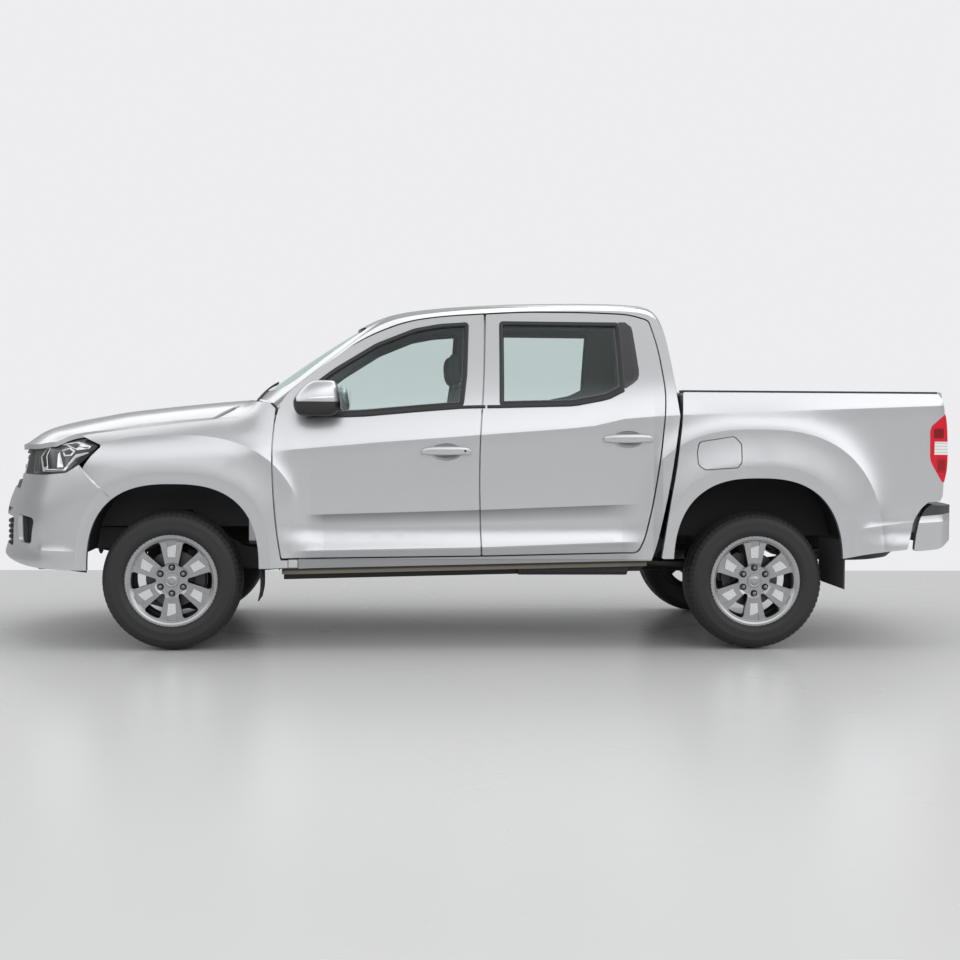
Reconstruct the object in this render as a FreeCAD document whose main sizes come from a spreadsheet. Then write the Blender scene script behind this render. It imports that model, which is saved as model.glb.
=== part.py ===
import FreeCAD, Part
import math
import os
from types import SimpleNamespace

import Sketcher
from FreeCAD import Placement, Rotation, Vector

# Double cab pickup truck, in millimetres.
# +X points to the rear, +Y to the vehicle's right, +Z up.
# The origin is on the ground below the middle of the overall box.

# Driving sizes
SIZES = {
    # running gear
    "front_axle_x": -1620.0,
    "wheelbase": 3155.0,
    "track": 1580.0,
    "tyre_radius": 374.0,
    "tyre_width": 255.0,
    "rim_radius": 246.0,
    "rim_width": 214.0,
    "hub_radius": 62.0,
    "stub_radius": 26.0,
    "disc_radius": 152.0,
    "fit": 0.3,
    "kingpin_y": 700.0,
    "ball_spread": 150.0,
    # frame
    "rail_y": 422.0,
    "rail_width": 65.0,
    "rail_height": 120.0,
    "rail_bottom": 400.0,
    "rail_rise": 220.0,
    "spring_y": 545.0,
    "spring_width": 60.0,
    "spare_z": 560.0,
    "floor_bottom": 540.0,
    "floor_thickness": 35.0,
    # body
    "sill_half_width": 908.0,
    "belt_crease_half_width": 928.0,
    "flare_half_width": 950.0,
    "panel_gap": 8.0,
    "flange": 26.0,
    "door_thickness": 104.0,
    "door_inset": 38.0,
    "opening_inset": 22.0,
    "rebate_room": 24.0,
    "roof_edge_height": 1830.0,
    "roof_edge_half_width": 640.0,
    "cab_wall": 112.0,
    "roof_thickness": 42.0,
    "fender_skin": 28.0,
    "hood_thickness": 26.0,
    "nose_wall": 38.0,
    "lamp_depth": 120.0,
    "glass_depth": 10.0,
    "glass_thickness": 5.0,
    # load bed
    "bed_gap": 13.0,
    "bed_floor": 885.0,
    "bed_floor_thickness": 24.0,
    "bed_inner_half_width": 775.0,
    "bed_rail": 1400.0,
    "rail_cap": 11.0,
    "wheel_box_half_width": 560.0,
    "bed_skin": 34.0,
    "tailgate_half_width": 768.0,
    "tailgate_x": 2538.0,
    "tailgate_thickness": 60.0,
    "tailgate_bottom": 842.0,
    # cabin
    "seat_y": 370.0,
    "seat_width": 500.0,
    "wheel_rim_radius": 185.0,
    "wheel_rim_thickness": 16.0,
}

DOC = FreeCAD.newDocument("pickup_truck")
SHEET = DOC.addObject("Spreadsheet::Sheet", "Sizes")


class Size:
    """A length together with the spreadsheet expression that gives it."""

    def __init__(self, value, text):
        self.value = float(value)
        self.text = text

    def __add__(self, other):
        return join(self, "+", other)

    def __radd__(self, other):
        return join(other, "+", self)

    def __sub__(self, other):
        return join(self, "-", other)

    def __rsub__(self, other):
        return join(other, "-", self)

    def __mul__(self, other):
        return join(self, "*", other)

    def __rmul__(self, other):
        return join(other, "*", self)

    def __truediv__(self, other):
        return join(self, "/", other)

    def __neg__(self):
        return join(0.0, "-", self)

    def __float__(self):
        return self.value


def as_size(item):
    """A plain number as a Size."""
    if isinstance(item, Size):
        return item
    return Size(item, repr(float(item)))


def join(first, sign, second):
    """The Size of two sizes joined by an arithmetic sign."""
    first = as_size(first)
    second = as_size(second)
    value = {
        "+": lambda a, b: a + b,
        "-": lambda a, b: a - b,
        "*": lambda a, b: a * b,
        "/": lambda a, b: a / b,
    }[sign](first.value, second.value)
    return Size(value, "(" + first.text + " " + sign + " " + second.text + ")")


def fill_sheet():
    """Write every driving size into the sheet and name its cell."""
    for row, (name, value) in enumerate(SIZES.items(), start=1):
        SHEET.set("A%d" % row, name)
        SHEET.set("B%d" % row, repr(value))
        SHEET.setAlias("B%d" % row, name)
    DOC.recompute()


fill_sheet()
s = SimpleNamespace(**{name: Size(value, "Sizes." + name) for name, value in SIZES.items()})
n = SimpleNamespace(**SIZES)

REAR_AXLE_X = s.front_axle_x + s.wheelbase
HALF_TRACK = s.track / 2
NODES = {}


# Document helpers
def bind(item, prop, size):
    """Bind a property of a document object to the sheet."""
    item.setExpression(prop, as_size(size).text)


def keep(name, item):
    """Record a finished document object as a node of the vehicle."""
    item.Label = name
    NODES[name] = item
    return item


def freeform(name, shape):
    """A node whose shape is a free curved panel."""
    item = DOC.addObject("Part::Feature", name)
    item.Shape = shape
    return keep(name, item)


def move_to(item, x=0.0, y=0.0, z=0.0):
    """Place a document object at a bound position."""
    for axis, size in (("x", x), ("y", y), ("z", z)):
        bind(item, "Placement.Base." + axis, size)


def new_body(name):
    """A PartDesign body."""
    return DOC.addObject("PartDesign::Body", name)


def draw_loop(sketch, points):
    """Add a closed loop. A point is (x, y); one that holds a third value is passed by an arc."""
    corners = [p for p in points if len(p) == 2]
    through = {}
    for p in points:
        if len(p) == 2:
            last = corners.index(p)
        else:
            through[last] = p
    count = len(corners)
    sides = []
    for i, start in enumerate(corners):
        end = corners[(i + 1) % count]
        a = Vector(float(start[0]), float(start[1]), 0)
        b = Vector(float(end[0]), float(end[1]), 0)
        if i not in through:
            number = sketch.addGeometry(Part.LineSegment(a, b), False)
            sides.append((number, 1, 2))
            continue
        m = Vector(float(through[i][0]), float(through[i][1]), 0)
        turns_left = (m - a).cross(b - m).z > 0
        if turns_left:
            number = sketch.addGeometry(Part.Arc(a, m, b), False)
            sides.append((number, 1, 2))
        else:
            number = sketch.addGeometry(Part.Arc(b, m, a), False)
            sides.append((number, 2, 1))
        marker = sketch.addGeometry(Part.Point(m), True)
        pin(sketch, marker, 1, through[i])
        sketch.addConstraint(Sketcher.Constraint("PointOnObject", marker, 1, number))
    for i, (number, begin, finish) in enumerate(sides):
        follower, follower_begin, unused = sides[(i + 1) % count]
        sketch.addConstraint(
            Sketcher.Constraint("Coincident", number, finish, follower, follower_begin)
        )
        pin(sketch, number, begin, corners[i])


def pin(sketch, geometry, vertex, point):
    """Hold a sketch vertex at a bound position."""
    for kind, axis, size in (("DistanceX", -2, point[0]), ("DistanceY", -1, point[1])):
        size = as_size(size)
        if size.text == "0.0":
            sketch.addConstraint(Sketcher.Constraint("PointOnObject", geometry, vertex, axis))
            continue
        number = sketch.addConstraint(
            Sketcher.Constraint(kind, -1, 1, geometry, vertex, size.value)
        )
        sketch.setExpression("Constraints[%d]" % number, size.text)


def draw_circle(sketch, x, y, radius):
    """Add a circle with a bound centre and radius."""
    centre = Vector(float(x), float(y), 0)
    number = sketch.addGeometry(Part.Circle(centre, Vector(0, 0, 1), float(radius)), False)
    pin(sketch, number, 3, (x, y))
    radius_number = sketch.addConstraint(Sketcher.Constraint("Radius", number, float(radius)))
    sketch.setExpression("Constraints[%d]" % radius_number, as_size(radius).text)


def new_sketch(body, role, height=0.0):
    """A sketch on one of the body's own origin planes, lifted along the plane's normal."""
    plane = [item for item in body.Origin.OriginFeatures if item.Role == role][0]
    sketch = body.newObject("Sketcher::SketchObject", body.Name + "_sketch")
    sketch.AttachmentSupport = [(plane, "")]
    sketch.MapMode = "FlatFace"
    bind(sketch, "AttachmentOffset.Base.z", height)
    return sketch


def pad(body, role, loops, length, height=0.0, symmetric=False, circles=()):
    """Pad closed loops and circles from a plane of the body."""
    sketch = new_sketch(body, role, height)
    for loop in loops:
        draw_loop(sketch, loop)
    for x, y, radius in circles:
        draw_circle(sketch, x, y, radius)
    feature = body.newObject("PartDesign::Pad", body.Name + "_pad")
    feature.Profile = sketch
    feature.SideType = "Symmetric" if symmetric else "One side"
    bind(feature, "Length", length)
    return feature


def pocket(body, role, loops, length, height=0.0, reversed_cut=False, circles=()):
    """Cut closed loops and circles out of the body along the plane's normal."""
    sketch = new_sketch(body, role, height)
    for loop in loops:
        draw_loop(sketch, loop)
    for x, y, radius in circles:
        draw_circle(sketch, x, y, radius)
    feature = body.newObject("PartDesign::Pocket", body.Name + "_pocket")
    feature.Profile = sketch
    feature.Reversed = reversed_cut
    bind(feature, "Length", length)
    return feature


def revolve(body, role, loop, axis):
    """Revolve a closed loop fully about an axis of its sketch."""
    sketch = new_sketch(body, role)
    draw_loop(sketch, loop)
    feature = body.newObject("PartDesign::Revolution", body.Name + "_turned")
    feature.Profile = sketch
    feature.ReferenceAxis = (sketch, [axis])
    feature.Angle = 360
    return feature


def polar(body, feature, count):
    """Repeat a feature about the body's Y axis."""
    axis = [item for item in body.Origin.OriginFeatures if item.Role == "Y_Axis"][0]
    pattern = body.newObject("PartDesign::PolarPattern", body.Name + "_pattern")
    pattern.Originals = [feature]
    pattern.Axis = (axis, [""])
    pattern.Angle = 360
    pattern.Occurrences = count
    body.Tip = pattern
    return pattern


def mirrored_copy(name, source):
    """A part mirrored to the other side of the vehicle."""
    item = DOC.addObject("Part::Mirroring", name)
    item.Source = source
    item.Normal = Vector(0, 1, 0)
    return item


def both_sides(name, source):
    """A node made of a left part and its mirror image."""
    item = DOC.addObject("Part::Compound", name)
    item.Links = [source, mirrored_copy(name + "_right_side", source)]
    return keep(name, item)


def fused(name, parts):
    """A fusion of document objects."""
    item = DOC.addObject("Part::MultiFuse", name)
    item.Shapes = parts
    item.Refine = True
    return item


def cylinder(name, radius, length, base, direction):
    """A round bar from a base point along a direction."""
    item = DOC.addObject("Part::Cylinder", name)
    bind(item, "Radius", radius)
    bind(item, "Height", length)
    item.Placement = Placement(Vector(0, 0, 0), Rotation(Vector(0, 0, 1), Vector(*direction)))
    move_to(item, *base)
    return item


def box(name, size, corner):
    """A rectangular block from its lowest corner."""
    item = DOC.addObject("Part::Box", name)
    for prop, length in zip(("Length", "Width", "Height"), size):
        bind(item, prop, length)
    move_to(item, *corner)
    return item


# Outlines
def along(value, table):
    """Straight interpolation in a table of (place, value)."""
    if value <= table[0][0]:
        return table[0][1]
    for (a, low), (b, high) in zip(table, table[1:]):
        if value <= b:
            return low + (high - low) * (value - a) / (b - a)
    return table[-1][1]


def step(low, high, value):
    """A smooth step from 0 at low to 1 at high."""
    t = min(max((value - low) / (high - low), 0.0), 1.0)
    return t * t * (3 - 2 * t)


def grown(points, distance):
    """A polygon with each side moved outwards by a distance."""
    count = len(points)
    area = sum(
        points[i][0] * points[(i + 1) % count][1] - points[(i + 1) % count][0] * points[i][1]
        for i in range(count)
    )
    sign = 1.0 if area > 0 else -1.0
    result = []
    for i, point in enumerate(points):
        before = points[i - 1]
        after = points[(i + 1) % count]
        ux, uy = unit(point[0] - before[0], point[1] - before[1])
        vx, vy = unit(after[0] - point[0], after[1] - point[1])
        nx, ny = sign * (uy + vy), -sign * (ux + vx)
        scale = distance / (1 + ux * vx + uy * vy)
        moved = (point[0] + nx * scale, point[1] + ny * scale)
        result.append(moved + tuple(point[2:]))
    return result


def unit(x, y):
    """A direction of length one."""
    length = math.hypot(x, y)
    return x / length, y / length


GENTLE_TURN = math.radians(32.0)


def rounded(points, radius, at):
    """A closed face through points with arcs at the corners. A point may carry its own radius.
    At any other point where the outline turns gently, the arc is as long as its sides allow."""
    count = len(points)
    entries = []
    for i, point in enumerate(points):
        before = points[i - 1]
        after = points[(i + 1) % count]
        ux, uy = unit(before[0] - point[0], before[1] - point[1])
        vx, vy = unit(after[0] - point[0], after[1] - point[1])
        half = math.acos(max(-1.0, min(1.0, ux * vx + uy * vy))) / 2
        gentle = math.pi - 2 * half < GENTLE_TURN
        corner_radius = point[2] if len(point) > 2 else (math.inf if gentle else radius)
        room = 0.45 * min(
            math.hypot(before[0] - point[0], before[1] - point[1]),
            math.hypot(after[0] - point[0], after[1] - point[1]),
        )
        reach = min(corner_radius / math.tan(half), room)
        if reach < 0.5 or half > math.pi / 2 - 0.004:
            entries.append((at(*point[:2]), None, at(*point[:2])))
            continue
        bulge = reach * math.tan(half) * (1 / math.sin(half) - 1)
        bx, by = unit(ux + vx, uy + vy)
        entries.append((
            at(point[0] + ux * reach, point[1] + uy * reach),
            at(point[0] + bx * bulge, point[1] + by * bulge),
            at(point[0] + vx * reach, point[1] + vy * reach),
        ))
    edges = []
    for i, (arrive, middle, leave) in enumerate(entries):
        if middle is not None:
            edges.append(Part.Arc(arrive, middle, leave).toShape())
        edges.append(Part.LineSegment(leave, entries[(i + 1) % count][0]).toShape())
    return Part.Face(Part.Wire(edges))


def side_prism(points, y_from, y_to, radius=12.0):
    """A prism across the vehicle with an outline in X and Z."""
    face = rounded(points, radius, lambda x, z: Vector(x, y_from, z))
    return face.extrude(Vector(0, y_to - y_from, 0))


def front_prism(points, x_from, x_to, radius=12.0):
    """A prism along the vehicle with an outline in Y and Z."""
    face = rounded(points, radius, lambda y, z: Vector(x_from, y, z))
    return face.extrude(Vector(x_to - x_from, 0, 0))


def plan_prism(points, z_from, z_to, radius=12.0):
    """An upright prism with an outline in X and Y."""
    face = rounded(points, radius, lambda x, y: Vector(x, y, z_from))
    return face.extrude(Vector(0, 0, z_to - z_from))


def block(x, y, z):
    """A block between three pairs of limits."""
    return Part.makeBox(x[1] - x[0], y[1] - y[0], z[1] - z[0], Vector(x[0], y[0], z[0]))


def whole(half):
    """A solid made of a left half and its mirror image."""
    other = half.mirror(Vector(0, 0, 0), Vector(0, 1, 0))
    return half.fuse(other).removeSplitter()


def pair(left):
    """A left piece and its mirror image, apart."""
    return Part.makeCompound([left, left.mirror(Vector(0, 0, 0), Vector(0, 1, 0))])


# Body surfaces
CREASE = ((-2100, 1000), (-1100, 1070), (460, 1198), (990, 1271), (2540, 1337))
HOOD_SEAM = ((-2250, 1128), (-2071, 1160), (-1742, 1201), (-1389, 1240))
ARCH_POWER = 2.6
ARCH_BASE = 430.0
FRONT_ARCH = SimpleNamespace(
    x=n.front_axle_x + 14, reach=455.0, rise=464.0, ridge=1.55, lip=1.15
)
REAR_ARCH = SimpleNamespace(
    x=n.front_axle_x + n.wheelbase + 4, reach=465.0, rise=508.0, ridge=1.55, lip=1.14
)


def arch_ratio(x, z, arch):
    """1 on the edge of a wheel opening and more outside it, as on a superellipse."""
    across = abs(x - arch.x) / arch.reach
    up = max(z - ARCH_BASE, 0.0) / arch.rise
    return (across ** ARCH_POWER + up ** ARCH_POWER) ** (1 / ARCH_POWER)


def half_width(x, z):
    """Half of the body's width at a place on its side."""
    crease = along(x, CREASE)
    sill = n.sill_half_width
    middle = n.belt_crease_half_width
    lower = ((380, sill - 18), (500, sill), (560, sill + 10), (640, sill - 9))
    upper = ((700, sill - 10), (765, sill + 7), (crease, middle), (crease + 1000, middle))
    width = along(z, lower + upper)
    rise = max(z - crease, 0.0)
    near = min(rise, 150.0)
    width -= 0.15 * near + 0.0006 * near * near
    belt = crease + 150.0
    far = max((z - belt) / (n.roof_edge_height - belt), 0.0)
    width -= (middle - 36.0 - n.roof_edge_half_width) * far ** 1.15
    for arch in (FRONT_ARCH, REAR_ARCH):
        ratio = arch_ratio(x, z, arch)
        share = min(max((arch.ridge - ratio) / (arch.ridge - arch.lip), 0.0), 1.0)
        width += (n.flare_half_width - width) * share
    shoulder = max(z - along(x, HOOD_SEAM) + 75.0, 0.0)
    width -= 0.0125 * shoulder * shoulder * (1 - step(-1330.0, -1130.0, x))
    width -= 30.0 * (max(-1700.0 - x, 0.0) / 400.0) ** 2
    width -= 22.0 * (max(x - 2250.0, 0.0) / 350.0) ** 2
    return width


def net(rows):
    """A smooth face whose control net is a grid of points."""
    count_u, count_v = len(rows), len(rows[0])
    knots_u = list(range(count_u - 2))
    knots_v = list(range(count_v - 2))
    ends_u = [4] + [1] * (len(knots_u) - 2) + [4]
    ends_v = [4] + [1] * (len(knots_v) - 2) + [4]
    surface = Part.BSplineSurface()
    surface.buildFromPolesMultsKnots(
        rows, ends_u, ends_v, knots_u, knots_v, False, False, 3, 3
    )
    return surface.toShape()


def spread(low, high, count):
    """Evenly spaced values with both ends."""
    return [low + (high - low) * i / (count - 1) for i in range(count)]


def side_layer(x, z, outer, inner, columns=24, rows=24, shape=half_width):
    """The left side's layer between two depths behind the outer surface."""
    face = net([
        [Vector(a, -shape(a, b) + outer, b) for b in spread(z[0], z[1], rows)]
        for a in spread(x[0], x[1], columns)
    ])
    return face.extrude(Vector(0, inner - outer, 0))


def side_core(x, z, depth, columns=24, rows=24):
    """Everything from a depth behind the left side to the middle plane."""
    reach = n.flare_half_width + 60.0
    solid = side_layer(x, z, depth, depth + reach, columns, rows)
    return solid.common(block((x[0] - 1, x[1] + 1), (-reach, 0.0), (z[0] - 1, z[1] + 1)))


def arch_outline(arch, extra, floor=150.0):
    """Face of a wheel opening's outline, enlarged by a distance."""
    reach = arch.reach + extra
    rise = arch.rise + extra
    points = []
    for angle in spread(0.0, math.pi, 25):
        c, v = math.cos(angle), math.sin(angle)
        radius = (abs(c / reach) ** ARCH_POWER + abs(v / rise) ** ARCH_POWER) ** (-1 / ARCH_POWER)
        points.append(Vector(arch.x + radius * c, 0, ARCH_BASE + radius * v))
    curve = Part.BSplineCurve()
    curve.interpolate(points)
    low_front = Vector(points[-1].x, 0, floor)
    low_rear = Vector(points[0].x, 0, floor)
    edges = [
        curve.toShape(),
        Part.LineSegment(points[-1], low_front).toShape(),
        Part.LineSegment(low_front, low_rear).toShape(),
        Part.LineSegment(low_rear, points[0]).toShape(),
    ]
    return Part.Face(Part.Wire(edges))


def arch_prism(arch, extra, y_from, y_to, floor=150.0):
    """The room of a wheel opening between two planes."""
    face = arch_outline(arch, extra, floor)
    face.translate(Vector(0, y_from, 0))
    return face.extrude(Vector(0, y_to - y_from, 0))


# The cab's silhouette from the cowl over the roof to the back wall: X, Z, bow, edge
ROOF = (
    (-1330, 1243, 90, 800),
    (-1171, 1362, 80, 770),
    (-1007, 1494, 70, 740),
    (-700, 1700, 50, 680),
    (-560, 1786, 35, 650),
    (-430, 1836, 22, 640),
    (-200, 1868, 0, 630),
    (120, 1892, 0, 630),
    (520, 1903, 0, 630),
    (880, 1902, -5, 630),
    (1010, 1886, -12, 630),
    (1062, 1820, -14, 640),
    (1100, 1640, -16, 670),
    (1143, 1409, -18, 700),
    (1175, 1230, -18, 720),
)
ROOF_CAMERA_Y = 450.0
ROOF_LIMIT_Y = 1000.0


def roof_point(station, y):
    """A point of the cab's upper surface, bowed and crowned across the vehicle."""
    x, z, bow, edge = station
    bowed = x + bow * (y * y - ROOF_CAMERA_Y ** 2) / 700.0 ** 2
    crown = 0.00005 * (y * y - ROOF_CAMERA_Y ** 2)
    rounding = 0.0009 * max(abs(y) - (edge - 210.0), 0.0) ** 2
    return Vector(bowed, y, z - crown - rounding)


def under_roof(lower=0.0, forward=0.0):
    """Everything under the cab's upper surface, left half."""
    face = net([
        [roof_point(station, y) for y in spread(-ROOF_LIMIT_Y, 0.0, 14)]
        for station in ROOF
    ])
    face.translate(Vector(-forward, 0, -lower))
    return face.extrude(Vector(0, 0, -2600))


# Nose of the body: how far its middle lies forward at each height
NOSE = (
    (300, -2420), (345, -2560), (385, -2662), (430, -2696), (484, -2694), (520, -2674),
    (663, -2683), (771, -2664), (837, -2628), (960, -2590), (1060, -2566), (1110, -2520),
    (1160, -2440), (1200, -2300),
)
NOSE_PLAN = (
    (0, 0), (31, 200), (96, 400), (185, 600), (273, 750), (365, 858), (470, 912), (590, 934),
    (760, 945),
)
NOSE_END = -1923.0
NOSE_FULL_DEPTH = 760.0
NOSE_FULL_WIDTH = 945.0


def nose_face(inset=0.0):
    """The nose's outer surface, or one inside it, from side to side."""
    rows = []
    for z in (300, 345, 385, 430, 484, 520, 590, 663, 771, 837, 960, 1060, 1110, 1160):
        front = along(z, NOSE)
        side = half_width(NOSE_END, max(z, 420.0)) - inset
        low_turn = 26.0 * step(430.0, 300.0, z) if z < 430 else 0.0
        row = []
        mirrored = [(back, -width) for back, width in reversed(NOSE_PLAN[1:])]
        for back, width in mirrored + list(NOSE_PLAN):
            x = front + inset + back * (NOSE_END - front) / NOSE_FULL_DEPTH
            y = width / NOSE_FULL_WIDTH * (side - low_turn)
            row.append(Vector(x, y, z))
        rows.append(row)
    return net(rows)


def nose_core(inset=0.0):
    """Everything behind the nose's outer surface, both sides."""
    return nose_face(inset).extrude(Vector(900, 0, 0))


def nose_plate(depth, thickness):
    """A plate across the middle of the nose at a depth behind its surface."""
    face = nose_face()
    face.translate(Vector(depth, 0, 0))
    return face.extrude(Vector(thickness, 0, 0))


def nose_layer(outer, inner):
    """A layer between two depths behind the nose's outer surface."""
    return nose_core(outer).cut(nose_core(inner))


# Hood surface
HOOD_REAR = -1214.0
HOOD_FRONT = -2562.0
HOOD_HEIGHTS = (
    (0.0, 1072), (0.02, 1092), (0.05, 1122), (0.08, 1152), (0.12, 1177), (0.17, 1196),
    (0.25, 1222), (0.45, 1272), (0.65, 1303), (0.88, 1334), (1.0, 1346), (1.2, 1362),
)
HOOD_SWEEP = ((0, 0), (400, 55), (600, 115), (700, 165), (780, 230), (838, 320), (900, 420))


def hood_height(x, y):
    """Height of the hood's outer surface."""
    y = abs(y)
    front = HOOD_FRONT + along(y, HOOD_SWEEP)
    share = max((x - front) / (HOOD_REAR - front), 0.0)
    height = along(share, HOOD_HEIGHTS) + 28.0 * (y / 750.0) ** 2 * max(1 - 4 * share, 0.0)
    fall = (25.0 + 70.0 * math.sqrt(share)) * (max(y - 470.0, 0.0) / 365.0) ** 2
    bulge = 7.0 * step(430.0, 330.0, y) if y > 330 else 7.0
    return height - fall + bulge * min(share * 5.0, 1.0) - 7.0


def hood_layer(top, thickness):
    """A layer below the hood's outer surface, both sides."""
    rows = []
    for x in spread(-2600.0, -1150.0, 30):
        rows.append([Vector(x, y, hood_height(x, y) - top) for y in spread(-900.0, 900.0, 31)])
    return net(rows).extrude(Vector(0, 0, -thickness))


# Outlines on the left side, X and Z, some with a corner radius
DOOR_FRONT_EDGE = (
    (-1032, 499), (-1054, 629), (-1071, 797), (-1081, 976), (-1079, 1121), (-1066, 1262),
)
PILLAR_EDGE = ((-1021, 1368), (-817, 1535), (-592, 1687), (-363, 1778), (-160, 1808))
DOOR_SPLIT = ((60, 1822), (50, 1490), (25, 1150), (22, 925), (28, 699), (37, 514))
REAR_DOOR_TOP = ((64, 1822), (274, 1835), (625, 1836), (860, 1827))
REAR_DOOR_BACK = (
    (966, 1795, 40), (1000, 1650), (1024, 1406), (1022, 1303), (1000, 1042), (951, 758),
    (917, 610), (880, 535, 45),
)
FRONT_WINDOW = (
    (-905, 1256, 25), (-599, 1269), (-307, 1296), (-66, 1317, 20), (-44, 1489), (-30, 1776, 25),
    (-189, 1764), (-328, 1737), (-534, 1653), (-760, 1512), (-935, 1378),
)
REAR_WINDOW = (
    (132, 1319, 20), (531, 1331), (716, 1369), (806, 1415, 30), (803, 1782, 20), (142, 1783, 25),
)


def front_door_outline():
    """The front door's outline, less half of the gap to the rear door."""
    half = n.panel_gap / 2
    split = [(x - half, z) for x, z in DOOR_SPLIT]
    return list(DOOR_FRONT_EDGE) + list(PILLAR_EDGE) + split


def rear_door_outline():
    """The rear door's outline, less half of the gap to the front door."""
    half = n.panel_gap / 2
    split = [(x + half, z) for x, z in reversed(DOOR_SPLIT[1:])]
    return split + [(64 + half, 1822)] + list(REAR_DOOR_TOP[1:]) + list(REAR_DOOR_BACK)


FENDER_X = (-2200.0, -1000.0)
FENDER_Z = (380.0, 1420.0)
LINER_DEPTH = 22.0
WHEEL_WALL_Y = 522.0
CAB_X = (-1300.0, 1200.0)
CAB_Z = (380.0, 1960.0)
BELT_CUT = 1235.0
FRONT_LATCH = (0.0, 905.0)
REAR_LATCH = (1004.0, 1355.0)


def cab_shell():
    """Cab of pillars, sills, roof, floor and walls with its door and window openings."""
    outside = side_core(CAB_X, CAB_Z, 0.0)
    behind_fender = side_core(FENDER_X, FENDER_Z, n.fender_skin + n.panel_gap, 30, 30)
    panel_zone = side_prism((
        (-1222, 1352), (-1105, 1340), (-1060, 1302), (-1060, 640), (-1034, 508), (-944, 495),
        (-944, 442), (955, 488), (988, 588),
        (1037, 815), (1074, 1020), (1100, 1224), (1113, 1361), (1113, 1418), (1170, 1418),
        (1240, 2050), (-1222, 2050),
    ), -1100.0, 1.0, 3.0)
    post_zone = block((-1240.0, -1040.0), (-1100.0, 1.0), (480.0, 1262.0))
    half = outside.common(panel_zone).fuse(behind_fender.common(post_zone))
    half = half.common(under_roof())
    wall = side_core(CAB_X, CAB_Z, n.cab_wall)
    hollow = wall.common(under_roof(n.roof_thickness, 0.0)).common(under_roof(0.0, 42.0))
    floor_top = n.floor_bottom + n.floor_thickness
    hollow = hollow.common(side_prism((
        (-1195, floor_top), (930, floor_top), (946, 588), (995, 815), (1032, 1020), (1056, 1224),
        (1068, 1361), (1090, 1409), (1090, 2000), (-1195, 2000),
    ), -1000.0, 1.0, 3.0))
    hollow = hollow.cut(arch_prism(FRONT_ARCH, LINER_DEPTH + 30.0, -1000.0, -WHEEL_WALL_Y + 30.0))
    below = block((-1300.0, 1300.0), (-790.0, 1.0), (300.0, n.floor_bottom))
    half = half.cut(hollow).cut(below)
    half = half.cut(arch_prism(FRONT_ARCH, LINER_DEPTH + n.fit, -1100.0, -WHEEL_WALL_Y))
    doors = ((front_door_outline(), FRONT_LATCH), (rear_door_outline(), REAR_LATCH))
    for outline, (latch_x, latch_z) in doors:
        rebate = side_layer(CAB_X, CAB_Z, -40.0, n.flange + n.rebate_room)
        rebate = rebate.common(side_prism(grown(outline, n.panel_gap), -1100.0, -300.0, 8.0))
        half = half.cut(rebate)
        opening = grown(outline, -n.opening_inset)
        half = half.cut(side_prism(opening, -1100.0, -785.0, 30.0))
        upper = side_prism(opening, -1100.0, -430.0, 30.0)
        half = half.cut(upper.common(block((-1300, 1300), (-1100, 0), (BELT_CUT, 2000))))
        latch = side_core(CAB_X, CAB_Z, n.flange + n.fit).cut(side_core(CAB_X, CAB_Z, n.cab_wall))
        latch = latch.common(block(
            (latch_x, latch_x + 14.0), (-1100.0, -300.0), (latch_z - 25.0, latch_z + 25.0)
        ))
        half = half.fuse(latch)
    cab = whole(half)
    screen = front_prism(WINDSCREEN, -1500.0, -420.0, 60.0)
    back = front_prism(REAR_SCREEN, 1000.0, 1300.0, 60.0)
    return cab.cut(screen).cut(back)


WINDSCREEN = ((-700, 1398), (700, 1398), (560, 1752), (-560, 1752))
REAR_SCREEN = ((-640, 1432), (640, 1432), (560, 1776), (-560, 1776))


def roof_layer(stations, lower, forward, thickness_down, thickness_forward):
    """A layer parallel to a stretch of the cab's upper surface, both sides."""
    face = net([
        [roof_point(station, y) for y in spread(-ROOF_LIMIT_Y, ROOF_LIMIT_Y, 27)]
        for station in stations
    ])
    face.translate(Vector(-forward, 0, -lower))
    return face.extrude(Vector(-thickness_forward, 0, -thickness_down))


def cab_glass():
    """Windscreen and rear window, seated in their openings."""
    thickness = n.glass_thickness
    front = roof_layer(ROOF[:8], n.glass_depth, 0.0, 1.2 * thickness, 0.0)
    front = front.common(front_prism(grown(WINDSCREEN, -n.fit), -1500.0, -420.0, 60.0))
    rear = roof_layer(ROOF[10:], 0.0, n.glass_depth, 0.0, thickness)
    rear = rear.common(front_prism(grown(REAR_SCREEN, -n.fit), 1000.0, 1300.0, 60.0))
    return Part.makeCompound([front, rear])


def largest(shape):
    """The largest solid of a shape."""
    return max(shape.Solids, key=lambda solid: solid.Volume)


def handle_cup(shape, x_from, x_to, z):
    """Cut a pull's cup into a door and add its bar, left side."""
    middle = (x_from + x_to) / 2
    surface = -half_width(middle, z)
    cup = Part.makeSphere(1.0)
    stretch = FreeCAD.Matrix()
    stretch.scale((x_to - x_from) * 0.32, 24.0, 46.0)
    cup = cup.transformGeometry(stretch)
    cup.translate(Vector(middle, surface, z))
    bar = block((x_from, x_to), (surface - 22.0, surface - 8.0), (z - 14.0, z + 14.0))
    bar = bar.makeFillet(6.0, bar.Edges)
    feet = Part.makeCompound([
        block((x_from + 8, x_from + 40), (surface - 14, surface + 12), (z - 11, z + 11)),
        block((x_to - 40, x_to - 8), (surface - 14, surface + 12), (z - 11, z + 11)),
    ])
    return largest(shape.cut(cup).fuse(bar).fuse(feet.Solids).removeSplitter())


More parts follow.
